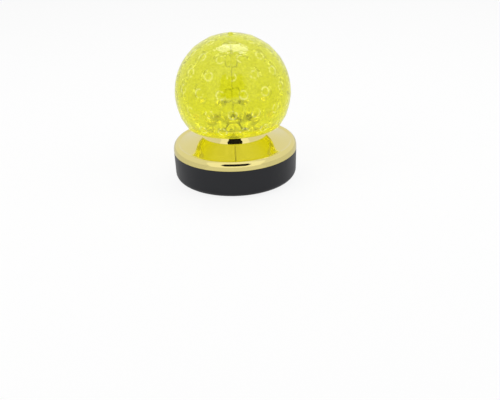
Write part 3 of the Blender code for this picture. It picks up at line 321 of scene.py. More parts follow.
def ball_finish():
    finish = Finish("ball_clear", IOR=1.49, Transmission_Weight=0.9, Emission_Strength=0.5)
    height = add_node(finish.tree, "ShaderNodeSeparateXYZ", None, finish.place, output="Z")
    high = between(height, *UPPER_PART)
    low = 1 - between(height, *LOWER_PART)
    cloud = between(finish.noise(420, 3, 0.7), 0.36, 0.64)
    # Painted highlight: the base colour is paler high up, where white light falls on the ball
    deep = mixed(cloud, (0.69, 0.69, 0.006), (0.88, 0.885, 0.026))
    pale = mixed(cloud, (0.71, 0.72, 0.08), (0.90, 0.91, 0.26))
    finish.feed("Base Color", mixed(high, deep, pale))
    # The glow is painted with emission, stronger low down near the light sources; broken bright
    # arcs at the lens edges are a painted highlight of the lamps
    blotch = between(finish.noise(200, 3, 0.6), 0.35, 0.65)
    even = mixed(blotch, (0.145, 0.147, 0.006), (0.185, 0.188, 0.010))
    strong = mixed(blotch, (0.195, 0.192, 0.009), (0.275, 0.268, 0.016))
    edge = add_node(finish.tree, "ShaderNodeAttribute", {"attribute_name": "lens_edge"},
                    output="Fac")
    broken_highlight = between(finish.noise(330, 2), 0.4, 0.6)
    finish.feed("Emission Color",
                mixed(edge * broken_highlight, mixed(low, even, strong), (0.62, 0.62, 0.42)))
    finish.feed("Roughness", finish.noise(140, 2) * 0.04 + 0.01)
    # A fine ripple all over, and a coarser one high up that breaks the highlight
    finish.bump(finish.noise(420, 2) + finish.noise(230, 0) * high * 2.5, 0.3, CAST_RIPPLE)
    return finish.material


MATERIALS["ball_clear"] = ball_finish()
print("ball finish made")

# %% [markdown]
# ## The light sources' resin
# Each light source is a chip in clear resin, and the resin glows when the chip is lit. The domes
# are small and half hidden, so one cloudy yellow that glows by itself is enough.

# %% The light sources' finish
def light_source_finish():
    finish = Finish("led_resin", IOR=1.5, Transmission_Weight=0.6, Emission_Strength=0.25)
    cloud = finish.noise(500, 2)
    finish.feed("Base Color", mixed(cloud, (0.9, 0.9, 0.6), (0.95, 0.95, 0.7)))
    finish.feed("Emission Color", mixed(cloud, (0.9, 0.82, 0.1), (1.0, 0.9, 0.2)))
    finish.feed("Roughness", cloud * 0.1 + 0.03)
    return finish.material


MATERIALS["led_resin"] = light_source_finish()
print("light source finish made")

# %% [markdown]
# ## Dress the CAD model
# The pieces inside the base are right as the CAD model has them, so they only need a finish. The
# record names one for each, which saves a list here.

# %% Dress the CAD nodes
for row in frame["record"]["subparts"]:
    node = NODES[row["node"]]
    node.data.materials.clear()
    node.data.materials.append(MATERIALS[row["material_slot"]])

# %% [markdown]
# ## White surroundings
# The lamp stands on a white floor in a white tent. A strong lamp could burn a grey floor to white,
# but it would burn the lamp's own colours too. Instead the floor and the world tell rays apart:
# they are full white to the camera, a little less in mirrors and glass, and weaker as light.
# A share of plain diffuse white in the floor keeps the lamp's shadow.

# %% World and floor
WHITE = (1, 1, 1)
FLOOR_WHITE = (0.9, 0.9, 0.9)
FLOOR_SIZE = 6.0
FLOOR_GLOW_SHARE = 0.87
# How white the floor and the world look in mirrors and glass, and how strongly they give light
FLOOR_LEVELS = (0.62, 0.35)
WORLD_LEVELS = (0.79, 0.5)


def white_level(tree, mirrored, lighting):
    """1 to the camera, the mirrored level to mirrors and glass, and lighting to all else."""
    seen, glossy, through = add_node(
        tree, "ShaderNodeLightPath",
        output=("Is Camera Ray", "Is Glossy Ray", "Is Transmission Ray"))
    indirect = maths("MAXIMUM", glossy, through) * (mirrored - lighting) + lighting
    return seen + (1 - seen) * indirect


def stage_material(name, make_surface):
    """A material with the surface that make_surface builds in its tree."""
    material = bpy.data.materials.new(name)
    material.use_nodes = True
    tree = material.node_tree
    tree.nodes.remove(tree.nodes["Principled BSDF"])
    tree.links.new(make_surface(tree).socket, tree.nodes["Material Output"].inputs["Surface"])
    return material


def floor_surface(tree):
    """A diffuse white that is mostly lit from within, so that it stays white."""
    diffuse = add_node(tree, "ShaderNodeBsdfDiffuse", None, FLOOR_WHITE)
    glow = add_node(tree, "ShaderNodeEmission", None, WHITE, white_level(tree, *FLOOR_LEVELS))
    return add_node(tree, "ShaderNodeMixShader", None, FLOOR_GLOW_SHARE, diffuse, glow)


def flat_object(name, corners, material):
    """One flat face that belongs to the stage."""
    mesh = bpy.data.meshes.new(name)
    mesh.from_pydata(corners, [], [tuple(range(len(corners)))])
    mesh.materials.append(material)
    obj = bpy.data.objects.new(name, mesh)
    bpy.context.scene.collection.objects.link(obj)
    return obj


world = bpy.data.worlds.new("white_tent")
bpy.context.scene.world = world
world.use_nodes = True
background = world.node_tree.nodes["Background"]
background.inputs["Color"].default_value = (*WHITE, 1)
world.node_tree.links.new(white_level(world.node_tree, *WORLD_LEVELS).socket,
                          background.inputs["Strength"])
flat_object("floor", [(x * FLOOR_SIZE, y * FLOOR_SIZE, 0)
                      for x, y in ((-1, -1), (1, -1), (1, 1), (-1, 1))],
            stage_material("floor_white", floor_surface))
print("world and floor are white")

# %% [markdown]
# ## Lamps
# Two large soft lamps light the object from the left and the right, as softboxes do. The third
# hangs above and behind it and is the only one that mirrors show: it makes the white highlight
# near the ball's top. Area lamps are used because their size sets how soft a shadow is.

# %% Three area lamps
def area_lamp(name, place, aim, width, depth, power, shine=False):
    """An oval lamp; shine lets mirrors and gloss show it."""
    data = bpy.data.lights.new(name, 'AREA')
    data.shape = 'ELLIPSE'
    data.size = width
    data.size_y = depth
    data.energy = power
    lamp = bpy.data.objects.new(name, data)
    lamp.location = place
    lamp.rotation_euler = (Vector(aim) - Vector(place)).to_track_quat("-Z", "Y").to_euler()
    lamp.visible_glossy = shine
    lamp.visible_transmission = False
    bpy.context.scene.collection.objects.link(lamp)


area_lamp("key_left", (-0.9, -0.5, 0.9), (0, 0, 0.08), 1.0, 1.0, 5)
area_lamp("fill_right", (1.0, -0.3, 0.8), (0, 0, 0.08), 1.0, 1.0, 4)
area_lamp("top_soft", (0.03, 0.34, 1.03), (0, 0, 0.1), 0.85, 0.40, 3.6, shine=True)
bpy.context.scene.view_settings.view_transform = "Standard"

# %% [markdown]
# ## What the mirrors show
# A gold mirror is only as good as what it reflects. The tent's front wall is a bright card behind
# the camera, and the gap in it for the camera is a dark one just before it. That gap makes the
# sharp dark crescent on the gold rim and the dark block under the ball. A third card lies on the
# floor in front and makes it look lighter there, as a floor in full light does. Real boards of
# white and black would also shade the lamp, so the camera and the plain light don't see the cards.

# %% Cards
def card(name, corners, strength):
    """A flat card that only mirrors and glass can see."""
    obj = flat_object(name, corners, stage_material(
        name, lambda tree: add_node(tree, "ShaderNodeEmission", None, WHITE, strength)))
    obj.visible_camera = False
    obj.visible_diffuse = False
    obj.visible_shadow = False
    obj.visible_volume_scatter = False


def behind_camera(distance, outline):
    """Corners of a card behind the camera, from an outline as the lamp sees it."""
    turn = camera.rotation_euler.to_matrix()
    middle = Vector(camera.location) + turn @ Vector((0, 0, distance))
    return [middle + turn @ Vector((x, y, 0)) for x, y in outline]


WALL_OUTLINE = ((-1.1, -0.6), (1.1, -0.6), (1.1, 1.1), (-1.1, 1.1))
GAP_OUTLINE = ((-0.34, -0.24), (0.34, -0.24), (0.45, 0.1), (0.32, 0.52), (-0.32, 0.52),
               (-0.45, 0.1))
NEAR_EDGE, FAR_EDGE = 0.07, 0.9
card("tent_wall", behind_camera(0.12, WALL_OUTLINE), 1.0)
card("tent_gap", behind_camera(0.10, GAP_OUTLINE), 0.01)
card("tent_floor", [(-NEAR_EDGE, -NEAR_EDGE, MM), (-FAR_EDGE, -FAR_EDGE, MM),
                    (FAR_EDGE, -FAR_EDGE, MM), (NEAR_EDGE, -NEAR_EDGE, MM)], 0.72)
print("cards ready")

# %% [markdown]
# ## Turned pieces
# Most pieces of this lamp are round, so they are made as a potter would: draw half the section and
# turn it about the axis. The Screw modifier could do that too; the spin of Blender's mesh code is
# used here, because its result is a plain mesh straight away. A helper rounds each corner of the
# section with a few extra points, because real edges always catch a line of light.

# %% Turn a section, with rounded corners
WELD = 0.002 * MM       # points closer than this become one
CORNER_SHARE = 0.45     # of a side, at most, goes into the arc at its end
ROUND_SHADE_LIMIT = 50  # edges sharper than this many degrees stay sharp


def rounded(points, radius, steps=4):
    """Replace the inner corners of an open path by small arcs, where the path is long enough.

    A point's third number, where it has one, is its own radius.
    """
    path = [Vector(point[:2]) for point in points]
    sizes = [point[2] if len(point) > 2 else radius for point in points]
    result = [tuple(path[0])]
    for before, corner, after, size in zip(path, path[1:], path[2:], sizes[1:]):
        inward, outward = before - corner, after - corner
        reach = min(size, inward.length * CORNER_SHARE, outward.length * CORNER_SHARE)
        start = corner + inward.normalized() * reach
        end = corner + outward.normalized() * reach
        for step in range(steps + 1):
            t = step / steps
            result.append(tuple(start.lerp(corner, t).lerp(corner.lerp(end, t), t)))
    result.append(tuple(path[-1]))
    return result


def mesh_object(name, bm, slot):
    """An object from finished mesh code, in the finish of a slot; a cutter has none."""
    mesh = bpy.data.meshes.new(name)
    bm.to_mesh(mesh)
    bm.free()
    if slot:
        mesh.materials.append(MATERIALS[slot])
    obj = bpy.data.objects.new(name, mesh)
    bpy.context.scene.collection.objects.link(obj)
    return obj


def turned(name, path, slot, steps, centre=(0, 0, 0), along='Z', sharp=40, closed=False):
    """A path of (radius, height) turned about Z, or about Y with its heights along +Y."""
    bm = bmesh.new()
    verts = [bm.verts.new((max(radius, 0), 0, height)) for radius, height in path]
    for pair in zip(verts, verts[1:]):
        bm.edges.new(pair)
    if closed:
        bm.edges.new((verts[-1], verts[0]))
    bmesh.ops.spin(bm, geom=bm.verts[:] + bm.edges[:], cent=(0, 0, 0), axis=(0, 0, 1),
                   angle=2 * math.pi, steps=steps)
    bmesh.ops.remove_doubles(bm, verts=bm.verts, dist=WELD)
    bmesh.ops.recalc_face_normals(bm, faces=bm.faces)
    if along == 'Y':
        bm.transform(Matrix.Rotation(math.radians(-90), 4, 'X'))
    bm.transform(Matrix.Translation(centre))
    for face in bm.faces:
        face.smooth = True
    obj = mesh_object(name, bm, slot)
    obj.data.set_sharp_from_angle(angle=math.radians(sharp))
    return obj


def place_for(obj, body, slot, *replaced):
    """Ride on a body and hide the CAD nodes that the piece stands for. The slot is not used."""
    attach(obj, body)
    if replaced:
        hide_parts(*replaced)
    return obj


print("turning helpers ready")

# %% [markdown]
# ## The gold cover
# On the real lamp the cover is one moulding: a rounded rim, a shallow dish that sweeps up to a
# raised hub, and the hub's flat top that carries the lamp board. It is a mirror, so its section
# needs smooth curves: facets would show as bands in the reflection. The dish could be drawn point
# by point, but a power law gives it one even sweep with a single number to tune.

# %% Section of the cover
BASE_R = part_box("top_plate")[1].x
HUB_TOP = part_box("top_plate")[1].z
HOUSING_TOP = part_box("base_housing")[1].z
SEAM = 0.3 * MM
CREASE_R, CREASE_Z = BASE_R - 6.35 * MM, HOUSING_TOP + 8.0 * MM
HUB_R = 27.8 * MM
HUB_FOOT_R, HUB_FOOT_Z = HUB_R + 4.6 * MM, HUB_TOP - 10.7 * MM
BORE_R = 6.1 * MM
COVER_WALL = 1.8 * MM
DISH_STEPS = 24
FLARE_POWER = 1.25
# Measured from the base's radius and the housing's top: out, up and the corner's own radius
RIM = ((-5.3, 8.75, 1.0), (-3.35, 9.1, 2.0), (-0.75, 6.6, 2.5), (0.0, 3.0, 1.5))
LIP_OUT = BASE_R - 2.5 * MM
LIP_IN = LIP_OUT - 1.5 * MM
LIP_BOTTOM = HOUSING_TOP - 3 * MM


def cover_section():
    top = [(BORE_R, HUB_TOP), (HUB_R - 0.2 * MM, HUB_TOP, 0.5 * MM),
           (HUB_R + 1.0 * MM, HUB_TOP - 1.0 * MM, 0.8 * MM),
           (HUB_R + 3.2 * MM, HUB_TOP - 8.0 * MM, 2 * MM)]
    for step in range(DISH_STEPS + 1):
        radius = HUB_FOOT_R + (CREASE_R - HUB_FOOT_R) * step / DISH_STEPS
        climb = (HUB_FOOT_Z - CREASE_Z) * (1 - step / DISH_STEPS) ** FLARE_POWER
        top.append((radius, CREASE_Z + climb, 0.9 * MM))
    top += [(BASE_R + out * MM, HOUSING_TOP + up * MM, size * MM) for out, up, size in RIM]
    top.append((BASE_R, HOUSING_TOP + SEAM))
    below = [(LIP_OUT, HOUSING_TOP + SEAM), (LIP_OUT, LIP_BOTTOM), (LIP_IN, LIP_BOTTOM),
             (LIP_IN, HOUSING_TOP + 5 * MM), (BASE_R - 4 * MM, HOUSING_TOP + 6.8 * MM),
             (CREASE_R - 2 * MM, CREASE_Z - 1.6 * MM), (HUB_FOOT_R, HUB_FOOT_Z - 2.2 * MM),
             (HUB_R - 0.8 * MM, HUB_TOP - COVER_WALL), (BORE_R, HUB_TOP - COVER_WALL)]
    return rounded(top, 0.5 * MM, 5) + below


cover = turned("gold_cover", cover_section(), "gold_plate", 192, sharp=ROUND_SHADE_LIMIT,
               closed=True)
place_for(cover, "base", "gold_plate", "top_plate")
print("gold cover:", len(cover.data.polygons), "faces, top at", round(HUB_TOP / MM, 1), "mm")

# %% [markdown]
# ## Cutting
# Openings are made as in a workshop: turn or saw the plain form first, then cut the holes. A
# Boolean modifier does each cut and is applied at once, so the finished piece is a plain mesh.
# Building the holes into the mesh by hand would give fewer faces but take far more code.

# %% Cutting helpers
def applied(obj):
    """Turn an object's modifiers into plain mesh."""
    graph = bpy.context.evaluated_depsgraph_get()
    mesh = bpy.data.meshes.new_from_object(obj.evaluated_get(graph))
    obj.modifiers.clear()
    obj.data = mesh
    return obj


def cut(obj, *cutters):
    """Cut the other objects out of obj and remove them."""
    for cutter in cutters:
        modifier = obj.modifiers.new(cutter.name, 'BOOLEAN')
        modifier.operation = 'DIFFERENCE'
        modifier.solver = 'EXACT'
        modifier.object = cutter
    applied(obj)
    for cutter in cutters:
        bpy.data.objects.remove(cutter)
    return obj


def cuboid(bm, low, high):
    """Add a sharp box between two corners to mesh code."""
    middle, size = (Vector(low) + Vector(high)) / 2, Vector(high) - Vector(low)
    bmesh.ops.create_cube(
        bm, size=1, matrix=Matrix.Translation(middle) @ Matrix.Diagonal((*size, 1)))


def block(name, low, high, slot=None, edge=0.0):
    """A box between two corners, with rounded edges where edge gives their radius."""
    bm = bmesh.new()
    cuboid(bm, low, high)
    if edge:
        bmesh.ops.bevel(bm, geom=bm.edges[:] + bm.verts[:], offset=edge, segments=3, profile=0.5,
                        affect='EDGES')
    for face in bm.faces:
        face.smooth = bool(edge)
    obj = mesh_object(name, bm, slot)
    if edge:
        obj.data.set_sharp_from_angle(angle=math.radians(ROUND_SHADE_LIMIT))
    return obj


def round_cutter(name, radius, bottom, top, centre, steps):
    return turned(name, [(0, top), (radius, top), (radius, bottom), (0, bottom)], None, steps,
                  (centre.x, centre.y, 0))


def middle_of(name):
    """The middle of a CAD node's box."""
    low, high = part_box(name)
    return (low + high) / 2


print("cutting helpers ready")

# %% [markdown]
# ## The black bowl
# The housing is a bowl with a large rounded lower edge, moulded in satin black plastic. It is
# turned like the cover. Its wall has the same thickness all round, as a moulding has, so the inner
# line is the outer one moved inwards; a Solidify modifier could do that, but two arcs are exact.

# %% Section of the bowl
FLOOR_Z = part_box("base_housing")[0].z
CORNER_R = 6.0 * MM
FLAT_R = BASE_R - 0.75 * MM - CORNER_R
WALL = 2.2 * MM


def corner_arc(radius, bottom, steps):
    """The bowl's lower corner, from its side down to its flat bottom."""
    angles = [math.radians(90 * step / steps) for step in range(steps + 1)]
    return [(FLAT_R + radius * math.cos(a), bottom + radius * (1 - math.sin(a))) for a in angles]


inside = corner_arc(CORNER_R - WALL, FLOOR_Z + WALL, 10)[::-1]
outside = corner_arc(CORNER_R, FLOOR_Z, 20)
bowl = turned("black_bowl",
              [(0, FLOOR_Z + WALL)] + inside
              + [(BASE_R - WALL, HOUSING_TOP), (BASE_R, HOUSING_TOP),
                 (BASE_R - 0.1 * MM, HOUSING_TOP - 1.0 * MM)]
              + outside + [(0, FLOOR_Z)],
              "base_black", 160)
print("plain bowl:", len(bowl.data.polygons), "faces")

# %% [markdown]
# ## The bowl's openings
# The bowl has a window for the socket panel at the back, slots for the loudspeaker, seats for the
# rubber feet and wells for the screws. Their places could be typed in once more, but each opening
# takes its place from the CAD node that sits in it, so the two can't drift apart.

# %% Window, slots, seats and wells
FEET = [f"foot_{number}" for number in range(1, 5)]
COVER_SCREWS = [f"cover_screw_{number}" for number in range(1, 4)]
PAST = 3 * MM  # how far a cutter reaches past the wall
SLOT_PITCH = 5.0 * MM
SLOT_HALF = 1.1 * MM
GRILLE_SHARE = 0.711  # of the loudspeaker's radius
FOOT_SEAT_R, FOOT_SEAT_DEPTH = 6.3 * MM, 0.8 * MM
SCREW_WELL_R = 3.1 * MM
CUT_SHADE_LIMIT = 35

panel_low, panel_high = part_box("port_panel")
cutters = [block("window_cutter", (panel_low.x - SEAM, panel_low.y - PAST, panel_low.z - SEAM),
                 (panel_high.x + SEAM, BASE_R + 5 * MM, panel_high.z + SEAM))]
speaker_low, speaker_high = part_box("speaker_frame")
speaker_y = (speaker_low.y + speaker_high.y) / 2
grille_radius = GRILLE_SHARE * (speaker_high.x - speaker_low.x) / 2
for number in range(-3, 4):
    x = number * SLOT_PITCH
    half = math.sqrt(grille_radius ** 2 - x ** 2) + 2 * SLOT_HALF
    cutters.append(block(f"slot_cutter_{number + 3}",
                         (x - SLOT_HALF, speaker_y - half, FLOOR_Z - PAST),
                         (x + SLOT_HALF, speaker_y + half, FLOOR_Z + WALL + PAST)))
for name in FEET:
    cutters.append(round_cutter(f"seat_{name}", FOOT_SEAT_R, FLOOR_Z - PAST,
                                FLOOR_Z + FOOT_SEAT_DEPTH, middle_of(name), 48))
for name in COVER_SCREWS:
    cutters.append(round_cutter(f"well_{name}", SCREW_WELL_R, FLOOR_Z - PAST,
                                FLOOR_Z + WALL + PAST, middle_of(name), 32))
cut(bowl, *cutters)
bowl.data.set_sharp_from_angle(angle=math.radians(CUT_SHADE_LIMIT))
place_for(bowl, "base", "base_black", "base_housing")
print("bowl:", len(bowl.data.polygons), "faces after", len(cutters), "cuts")

# %% [markdown]
# ## Trees that make shapes
# Geometry Nodes make a shape from a rule with named sizes. The ball and the rings of small pieces
# have such rules. Every tree here begins with its named inputs and ends in the same way: copies
# become real mesh, and the mesh gets its finish. The result is kept as a plain mesh, so that it can
# ride on a body like any other piece.

# %% Begin, end and run a tree
def geometry_tree(name, inputs):
    """A Geometry Nodes tree with named inputs, and a wire from each of them."""
    tree = bpy.data.node_groups.new(name, "GeometryNodeTree")
    tree.interface.new_socket("Geometry", in_out='OUTPUT', socket_type="NodeSocketGeometry")
    for label, kind in inputs:
        tree.interface.new_socket(label, in_out='INPUT', socket_type=f"NodeSocket{kind}")
    return tree, add_node(tree, "NodeGroupInput", output=[label for label, kind in inputs])


def end_tree(tree, geometry, material):
    """Make every copy real, dress the mesh and send it out."""
    real = add_node(tree, "GeometryNodeRealizeInstances", None, Geometry=geometry)
    dressed = add_node(tree, "GeometryNodeSetMaterial", None, Geometry=real, Material=material)
    add_node(tree, "NodeGroupOutput", None, dressed)
    return tree


def run_tree(name, tree, values, lift=0.0):
    """Run a node tree on an empty mesh and keep its result as a plain mesh, raised by lift."""
    obj = bpy.data.objects.new(name, bpy.data.meshes.new(name))
    bpy.context.scene.collection.objects.link(obj)
    modifier = obj.modifiers.new("Rule", 'NODES')
    modifier.node_group = tree
    for item in tree.interface.items_tree:
        if item.in_out == 'INPUT':
            modifier[item.identifier] = values[item.name]
    applied(obj)
    obj.data.transform(Matrix.Translation((0, 0, lift)))
    return obj


print("tree helpers ready")

# %% [markdown]
# ## The lens ball
# The ball is the piece that everyone looks at. It is a clear shell, open below, moulded with rows
# of round lenses. Each lens has a low bump outside and a much wider, smooth dimple inside: the
# dimple bends the light, so it draws the small pictures of the rod, and the low bump keeps the
# ball's outline nearly round. The lenses could be carved one by one, but one rule makes them all:
# a grid is wrapped into a shell that runs over the outside, round the lip and back up the inside,
# and every point is pushed by how near it is to the closest lens.

# %% The ball's rule as a node tree
# Each row's height over the ball's middle in degrees, its lenses, and if it starts half a step over
LENS_ROWS = ((-24, 16, True), (-5, 16, False), (14, 16, True), (31, 14, False), (48.5, 12, True),
             (67, 6, False))
BALL_INPUTS = [(label, "Float") for label in (
    "Radius", "Wall", "Lip Drop", "Hole Radius", "Lens Radius", "Dimple Radius", "Bump Rise",
    "Dimple Depth", "Pole Room")] + [(label, "Int") for label in (
        "Columns", "Outer Rows", "Inner Rows")]
# Where the ring of painted highlight lies on each lens, and how wide it is
HIGHLIGHT_RING_PLACE = 0.85
HIGHLIGHT_RING_WIDTH = 1.1 * MM
POLE_REGION = (0.12, 0.35)


def nearest_lens(turn, across, up):
    """The angle between a point of the ball and the middle of the closest lens."""
    nearest = math.pi
    for latitude, count, half in LENS_ROWS:
        pitch = 2 * math.pi / count
        start = (pitch / 2 if half else 0) - math.pi / 2
        closest = maths("ROUND", (turn - start) / pitch) * pitch + start
        spread = maths("COSINE", turn - closest)
        cosine = (across * (math.cos(math.radians(latitude)) * spread)
                  + up * math.sin(math.radians(latitude)))
        angle = maths("ARCCOSINE", maths("MINIMUM", cosine, 1.0))
        nearest = maths("MINIMUM", nearest, angle)
    return nearest


def ball_tree(material):
    tree, (radius, wall, lip_drop, hole, lens, dimple, rise, depth, pole_room,
           columns, outer_rows, inner_rows) = geometry_tree("lens_ball", BALL_INPUTS)
    # A flat grid, 1 m wide: X will run round the ball, and Y over its section
    steps = outer_rows + inner_rows + 2
    grid = add_node(tree, "GeometryNodeMeshGrid", None, 1.0, 1.0, columns + 1, steps + 1)
    along_x, along_y = add_node(tree, "ShaderNodeSeparateXYZ", None,
                                add_node(tree, "GeometryNodeInputPosition"), output=("X", "Y"))
    turn = (along_x + 0.5) * (2 * math.pi)
    step = (along_y + 0.5) * steps
    # Which of the three stretches a point is on: outside, inside, or the last step to the start
    is_inside = (step > outer_rows + 0.5) * (step < steps - 0.5)
    is_last = step > steps - 0.5
    is_outside = (1 - is_inside) * (1 - is_last)
    outer_share = maths("MINIMUM", step / outer_rows, 1.0) * (1 - is_last)
    inner_share = (step - outer_rows - 1) / inner_rows
    # The angle from the pole, between the hole for the cap and the lip
    shell = radius - wall * is_inside
    hole_angle = maths("ARCSINE", hole / shell)
    lip_angle = maths("ARCCOSINE", 0 - lip_drop / shell)
    share = outer_share * (1 - is_inside) + (1 - inner_share) * is_inside
    polar = hole_angle + (lip_angle - hole_angle) * share
    across, up = maths("SINE", polar), maths("COSINE", polar)
    # A round bump outside, a wide pit inside, and room for the boss at the pole
    gap = nearest_lens(turn, across, up) * radius
    cap = maths("MAXIMUM", 1 - (gap / lens) * (gap / lens), 0.0)
    pit = maths("MAXIMUM", 1 - (gap / dimple) * (gap / dimple), 0.0)
    room = pole_room * is_inside * (1 - between(polar, *POLE_REGION))
    distance = shell + rise * cap * is_outside + depth * (pit * pit) * is_inside + room
    new_place = add_node(tree, "ShaderNodeCombineXYZ", None,
                         distance * across * maths("COSINE", turn),
                         distance * across * maths("SINE", turn), distance * up)
    # A ring at the edge of each lens, which the ball's finish uses for a painted highlight, is
    # stored first, while the points still lie on the flat grid
    off_edge = maths("ABSOLUTE", gap - lens * HIGHLIGHT_RING_PLACE)
    edge = maths("MAXIMUM", 1 - off_edge / HIGHLIGHT_RING_WIDTH, 0.0) * is_outside
    marked = add_node(tree, "GeometryNodeStoreNamedAttribute",
                      {"data_type": 'FLOAT', "domain": 'POINT'},
                      Geometry=grid, Name="lens_edge", Value=edge)
    moved = add_node(tree, "GeometryNodeSetPosition", None, Geometry=marked, Position=new_place)
    welded = add_node(tree, "GeometryNodeMergeByDistance", None, Geometry=moved,
                      Distance=0.005 * MM)
    smooth = add_node(tree, "GeometryNodeSetShadeSmooth", None, Geometry=welded)
    return end_tree(tree, smooth, material)


print("ball tree ready for", sum(count for latitude, count, half in LENS_ROWS), "lenses")

# %% [markdown]
# ## Build the ball
# The real ball is moulded in one piece and hangs from the boss in its pole. Its lip sits at the
# height that the CAD node gives, and the rest follows from the radius. Many rows and columns are
# spent on it, since light that passes four curved walls shows every facet. Afterwards the normals
# are pointed outwards and the edges counted, because glass only bends light well on a closed shell.

# %% Build the ball
BALL_R = 57.3 * MM
LIP_DROP = 32.0 * MM
ball = run_tree("lens_ball", ball_tree(MATERIALS["ball_clear"]), {
    "Radius": BALL_R, "Wall": 3.9 * MM, "Lip Drop": LIP_DROP, "Hole Radius": 1.8 * MM,
    "Lens Radius": 4.6 * MM, "Dimple Radius": 11.5 * MM, "Bump Rise": 0.35 * MM,
    "Dimple Depth": 2.9 * MM, "Pole Room": 1.3 * MM,
    "Columns": 352, "Outer Rows": 150, "Inner Rows": 110},
    lift=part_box("crystal_ball")[0].z + LIP_DROP)
bm = bmesh.new()
bm.from_mesh(ball.data)
bmesh.ops.recalc_face_normals(bm, faces=bm.faces)
print("ball:", len(bm.faces), "faces, volume", round(bm.calc_volume(signed=True) / MM ** 3),
      "cubic mm, open edges", len([e for e in bm.edges if e.is_boundary]))
bm.to_mesh(ball.data)
bm.free()
place_for(ball, "ball", "ball_clear", "crystal_ball")

# %% [markdown]
# ## What the ball turns on
# A thin steel rod stands in a black coupling on the motor's shaft, and a clear boss inside the
# pole holds the ball to it, with a small cap outside. They are seen through the lenses, each of
# which shows its own small picture of them, so they are turned finely too. The coupling has a
# narrower neck above its collar, for the motor's shaft needs the width only below.

# %% Rod, coupling, boss and cap
def round_bar(name, cad, slot, edge, steps, neck_r=None, collar=0.0):
    """A bar with rounded ends in the place of a round CAD node, narrower above its collar."""
    low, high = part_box(cad)
    radius = (high.x - low.x) / 2
    middle = middle_of(cad)
    path = [(0, high.z), (neck_r or radius, high.z, edge)]
    if neck_r:
        path += [(neck_r, low.z + collar, 0.3 * MM), (radius, low.z + collar - 0.3 * MM, edge)]
    path += [(radius, low.z, edge), (0, low.z)]
    bar = turned(name, rounded(path, edge), slot, steps, (middle.x, middle.y, 0))
    place_for(bar, "ball", slot, cad)


round_bar("fine_rod", "spindle_rod", "steel", 0.2 * MM, 24)
round_bar("fine_coupling", "shaft_coupling", "panel_black", 0.4 * MM, 64, 3.0 * MM, 3.6 * MM)
round_bar("fine_boss", "ball_hub", "ball_clear", 0.8 * MM, 48)

cap_low, cap_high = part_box("cap_screw")
CAP_SEAT = cap_high.z - 1.6 * MM
CAP_SHANK_R = 1.5 * MM
cap = turned("fine_cap", rounded(
    [(0, cap_high.z - 0.1 * MM), (1.4 * MM, cap_high.z - 0.2 * MM, 0.5 * MM),
     (2.6 * MM, cap_high.z - 0.8 * MM, 0.7 * MM), (2.9 * MM, CAP_SEAT, 0.2 * MM),
     (CAP_SHANK_R, CAP_SEAT, 0.1 * MM), (CAP_SHANK_R, cap_low.z, 0.3 * MM), (0, cap_low.z)],
    0.3 * MM), "ball_clear", 48)
place_for(cap, "ball", "ball_clear", "cap_screw")
print("rod, coupling, boss and cap turned")

# %% [markdown]
# ## Rings of equal pieces
# Light sources, feet and cover screws stand in rings. Copying a piece in a loop would work, but a
# small node tree says the rule once: a mesh circle gives the points, and the angle of each point
# turns its copy to face outwards. The master is removed afterwards, and the ring is one plain mesh.

# %% A ring as a node tree
def ring_tree(material):
    tree, (piece, count, radius, start) = geometry_tree("ring_of_pieces", (
        ("Piece", "Object"), ("Count", "Int"), ("Radius", "Float"), ("Start", "Float")))
    circle = add_node(tree, "GeometryNodeMeshCircle", None, Vertices=count, Radius=radius)
    angle = add_node(tree, "GeometryNodeInputIndex") * (2 * math.pi) / count + start
    spot = add_node(tree, "ShaderNodeCombineXYZ", None, maths("COSINE", angle) * radius,
                    maths("SINE", angle) * radius, 0.0)
    placed = add_node(tree, "GeometryNodeSetPosition", None, Geometry=circle, Position=spot)
    master = add_node(tree, "GeometryNodeObjectInfo", None, Object=piece, output="Geometry")
    facing = add_node(tree, "ShaderNodeCombineXYZ", None, 0.0, 0.0, angle)
    copies = add_node(tree, "GeometryNodeInstanceOnPoints", None, Points=placed, Instance=master,
                      Rotation=facing)
    return end_tree(tree, copies, material)


def ring_of(name, master, slot, count, radius, start, *replaced):
    """Copies of a master piece on a circle, as one plain mesh on the base; the master goes."""
    ring = run_tree(name, ring_tree(MATERIALS[slot]), {
        "Piece": master, "Count": count, "Radius": radius, "Start": math.radians(start)})
    bpy.data.objects.remove(master)
    place_for(ring, "base", slot, *replaced)


def circle_of(name):
    """Radius and angle in degrees of a CAD node's middle, seen from above."""
    middle = middle_of(name)
    return math.hypot(middle.x, middle.y), math.degrees(math.atan2(middle.y, middle.x))


print("ring tree ready")

# %% [markdown]
# ## Light sources
# Each light source is a clear dome on a short rim, made of resin in one mould, so one section turns
# both. A flat black resistor sits between each two of them. Both are rings of six: the resistors
# are only turned a little further round.

# %% Light sources and the resistors between them
led_low, led_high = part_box("led_1")
LED_COUNT = 6
LED_R = 2.5 * MM
LED_RIM_R = 2.9 * MM
LED_RIM = led_low.z + 1.0 * MM
RESISTOR_TURN = 15
dome = [(LED_R * math.sin(math.radians(a)), led_high.z - LED_R + LED_R * math.cos(math.radians(a)))
        for a in range(0, 91, 9)]
rim = rounded([(LED_R, LED_RIM + 0.2 * MM), (LED_R, LED_RIM, 0.1 * MM),
               (LED_RIM_R, LED_RIM, 0.15 * MM), (LED_RIM_R, led_low.z, 0.15 * MM),
               (0, led_low.z)], 0.1 * MM)
led_radius, led_angle = circle_of("led_1")
ring_of("fine_lights", turned("led_master", dome + rim, "led_resin", 32), "led_resin", LED_COUNT,
        led_radius, led_angle, *[f"led_{number + 1}" for number in range(LED_COUNT)])

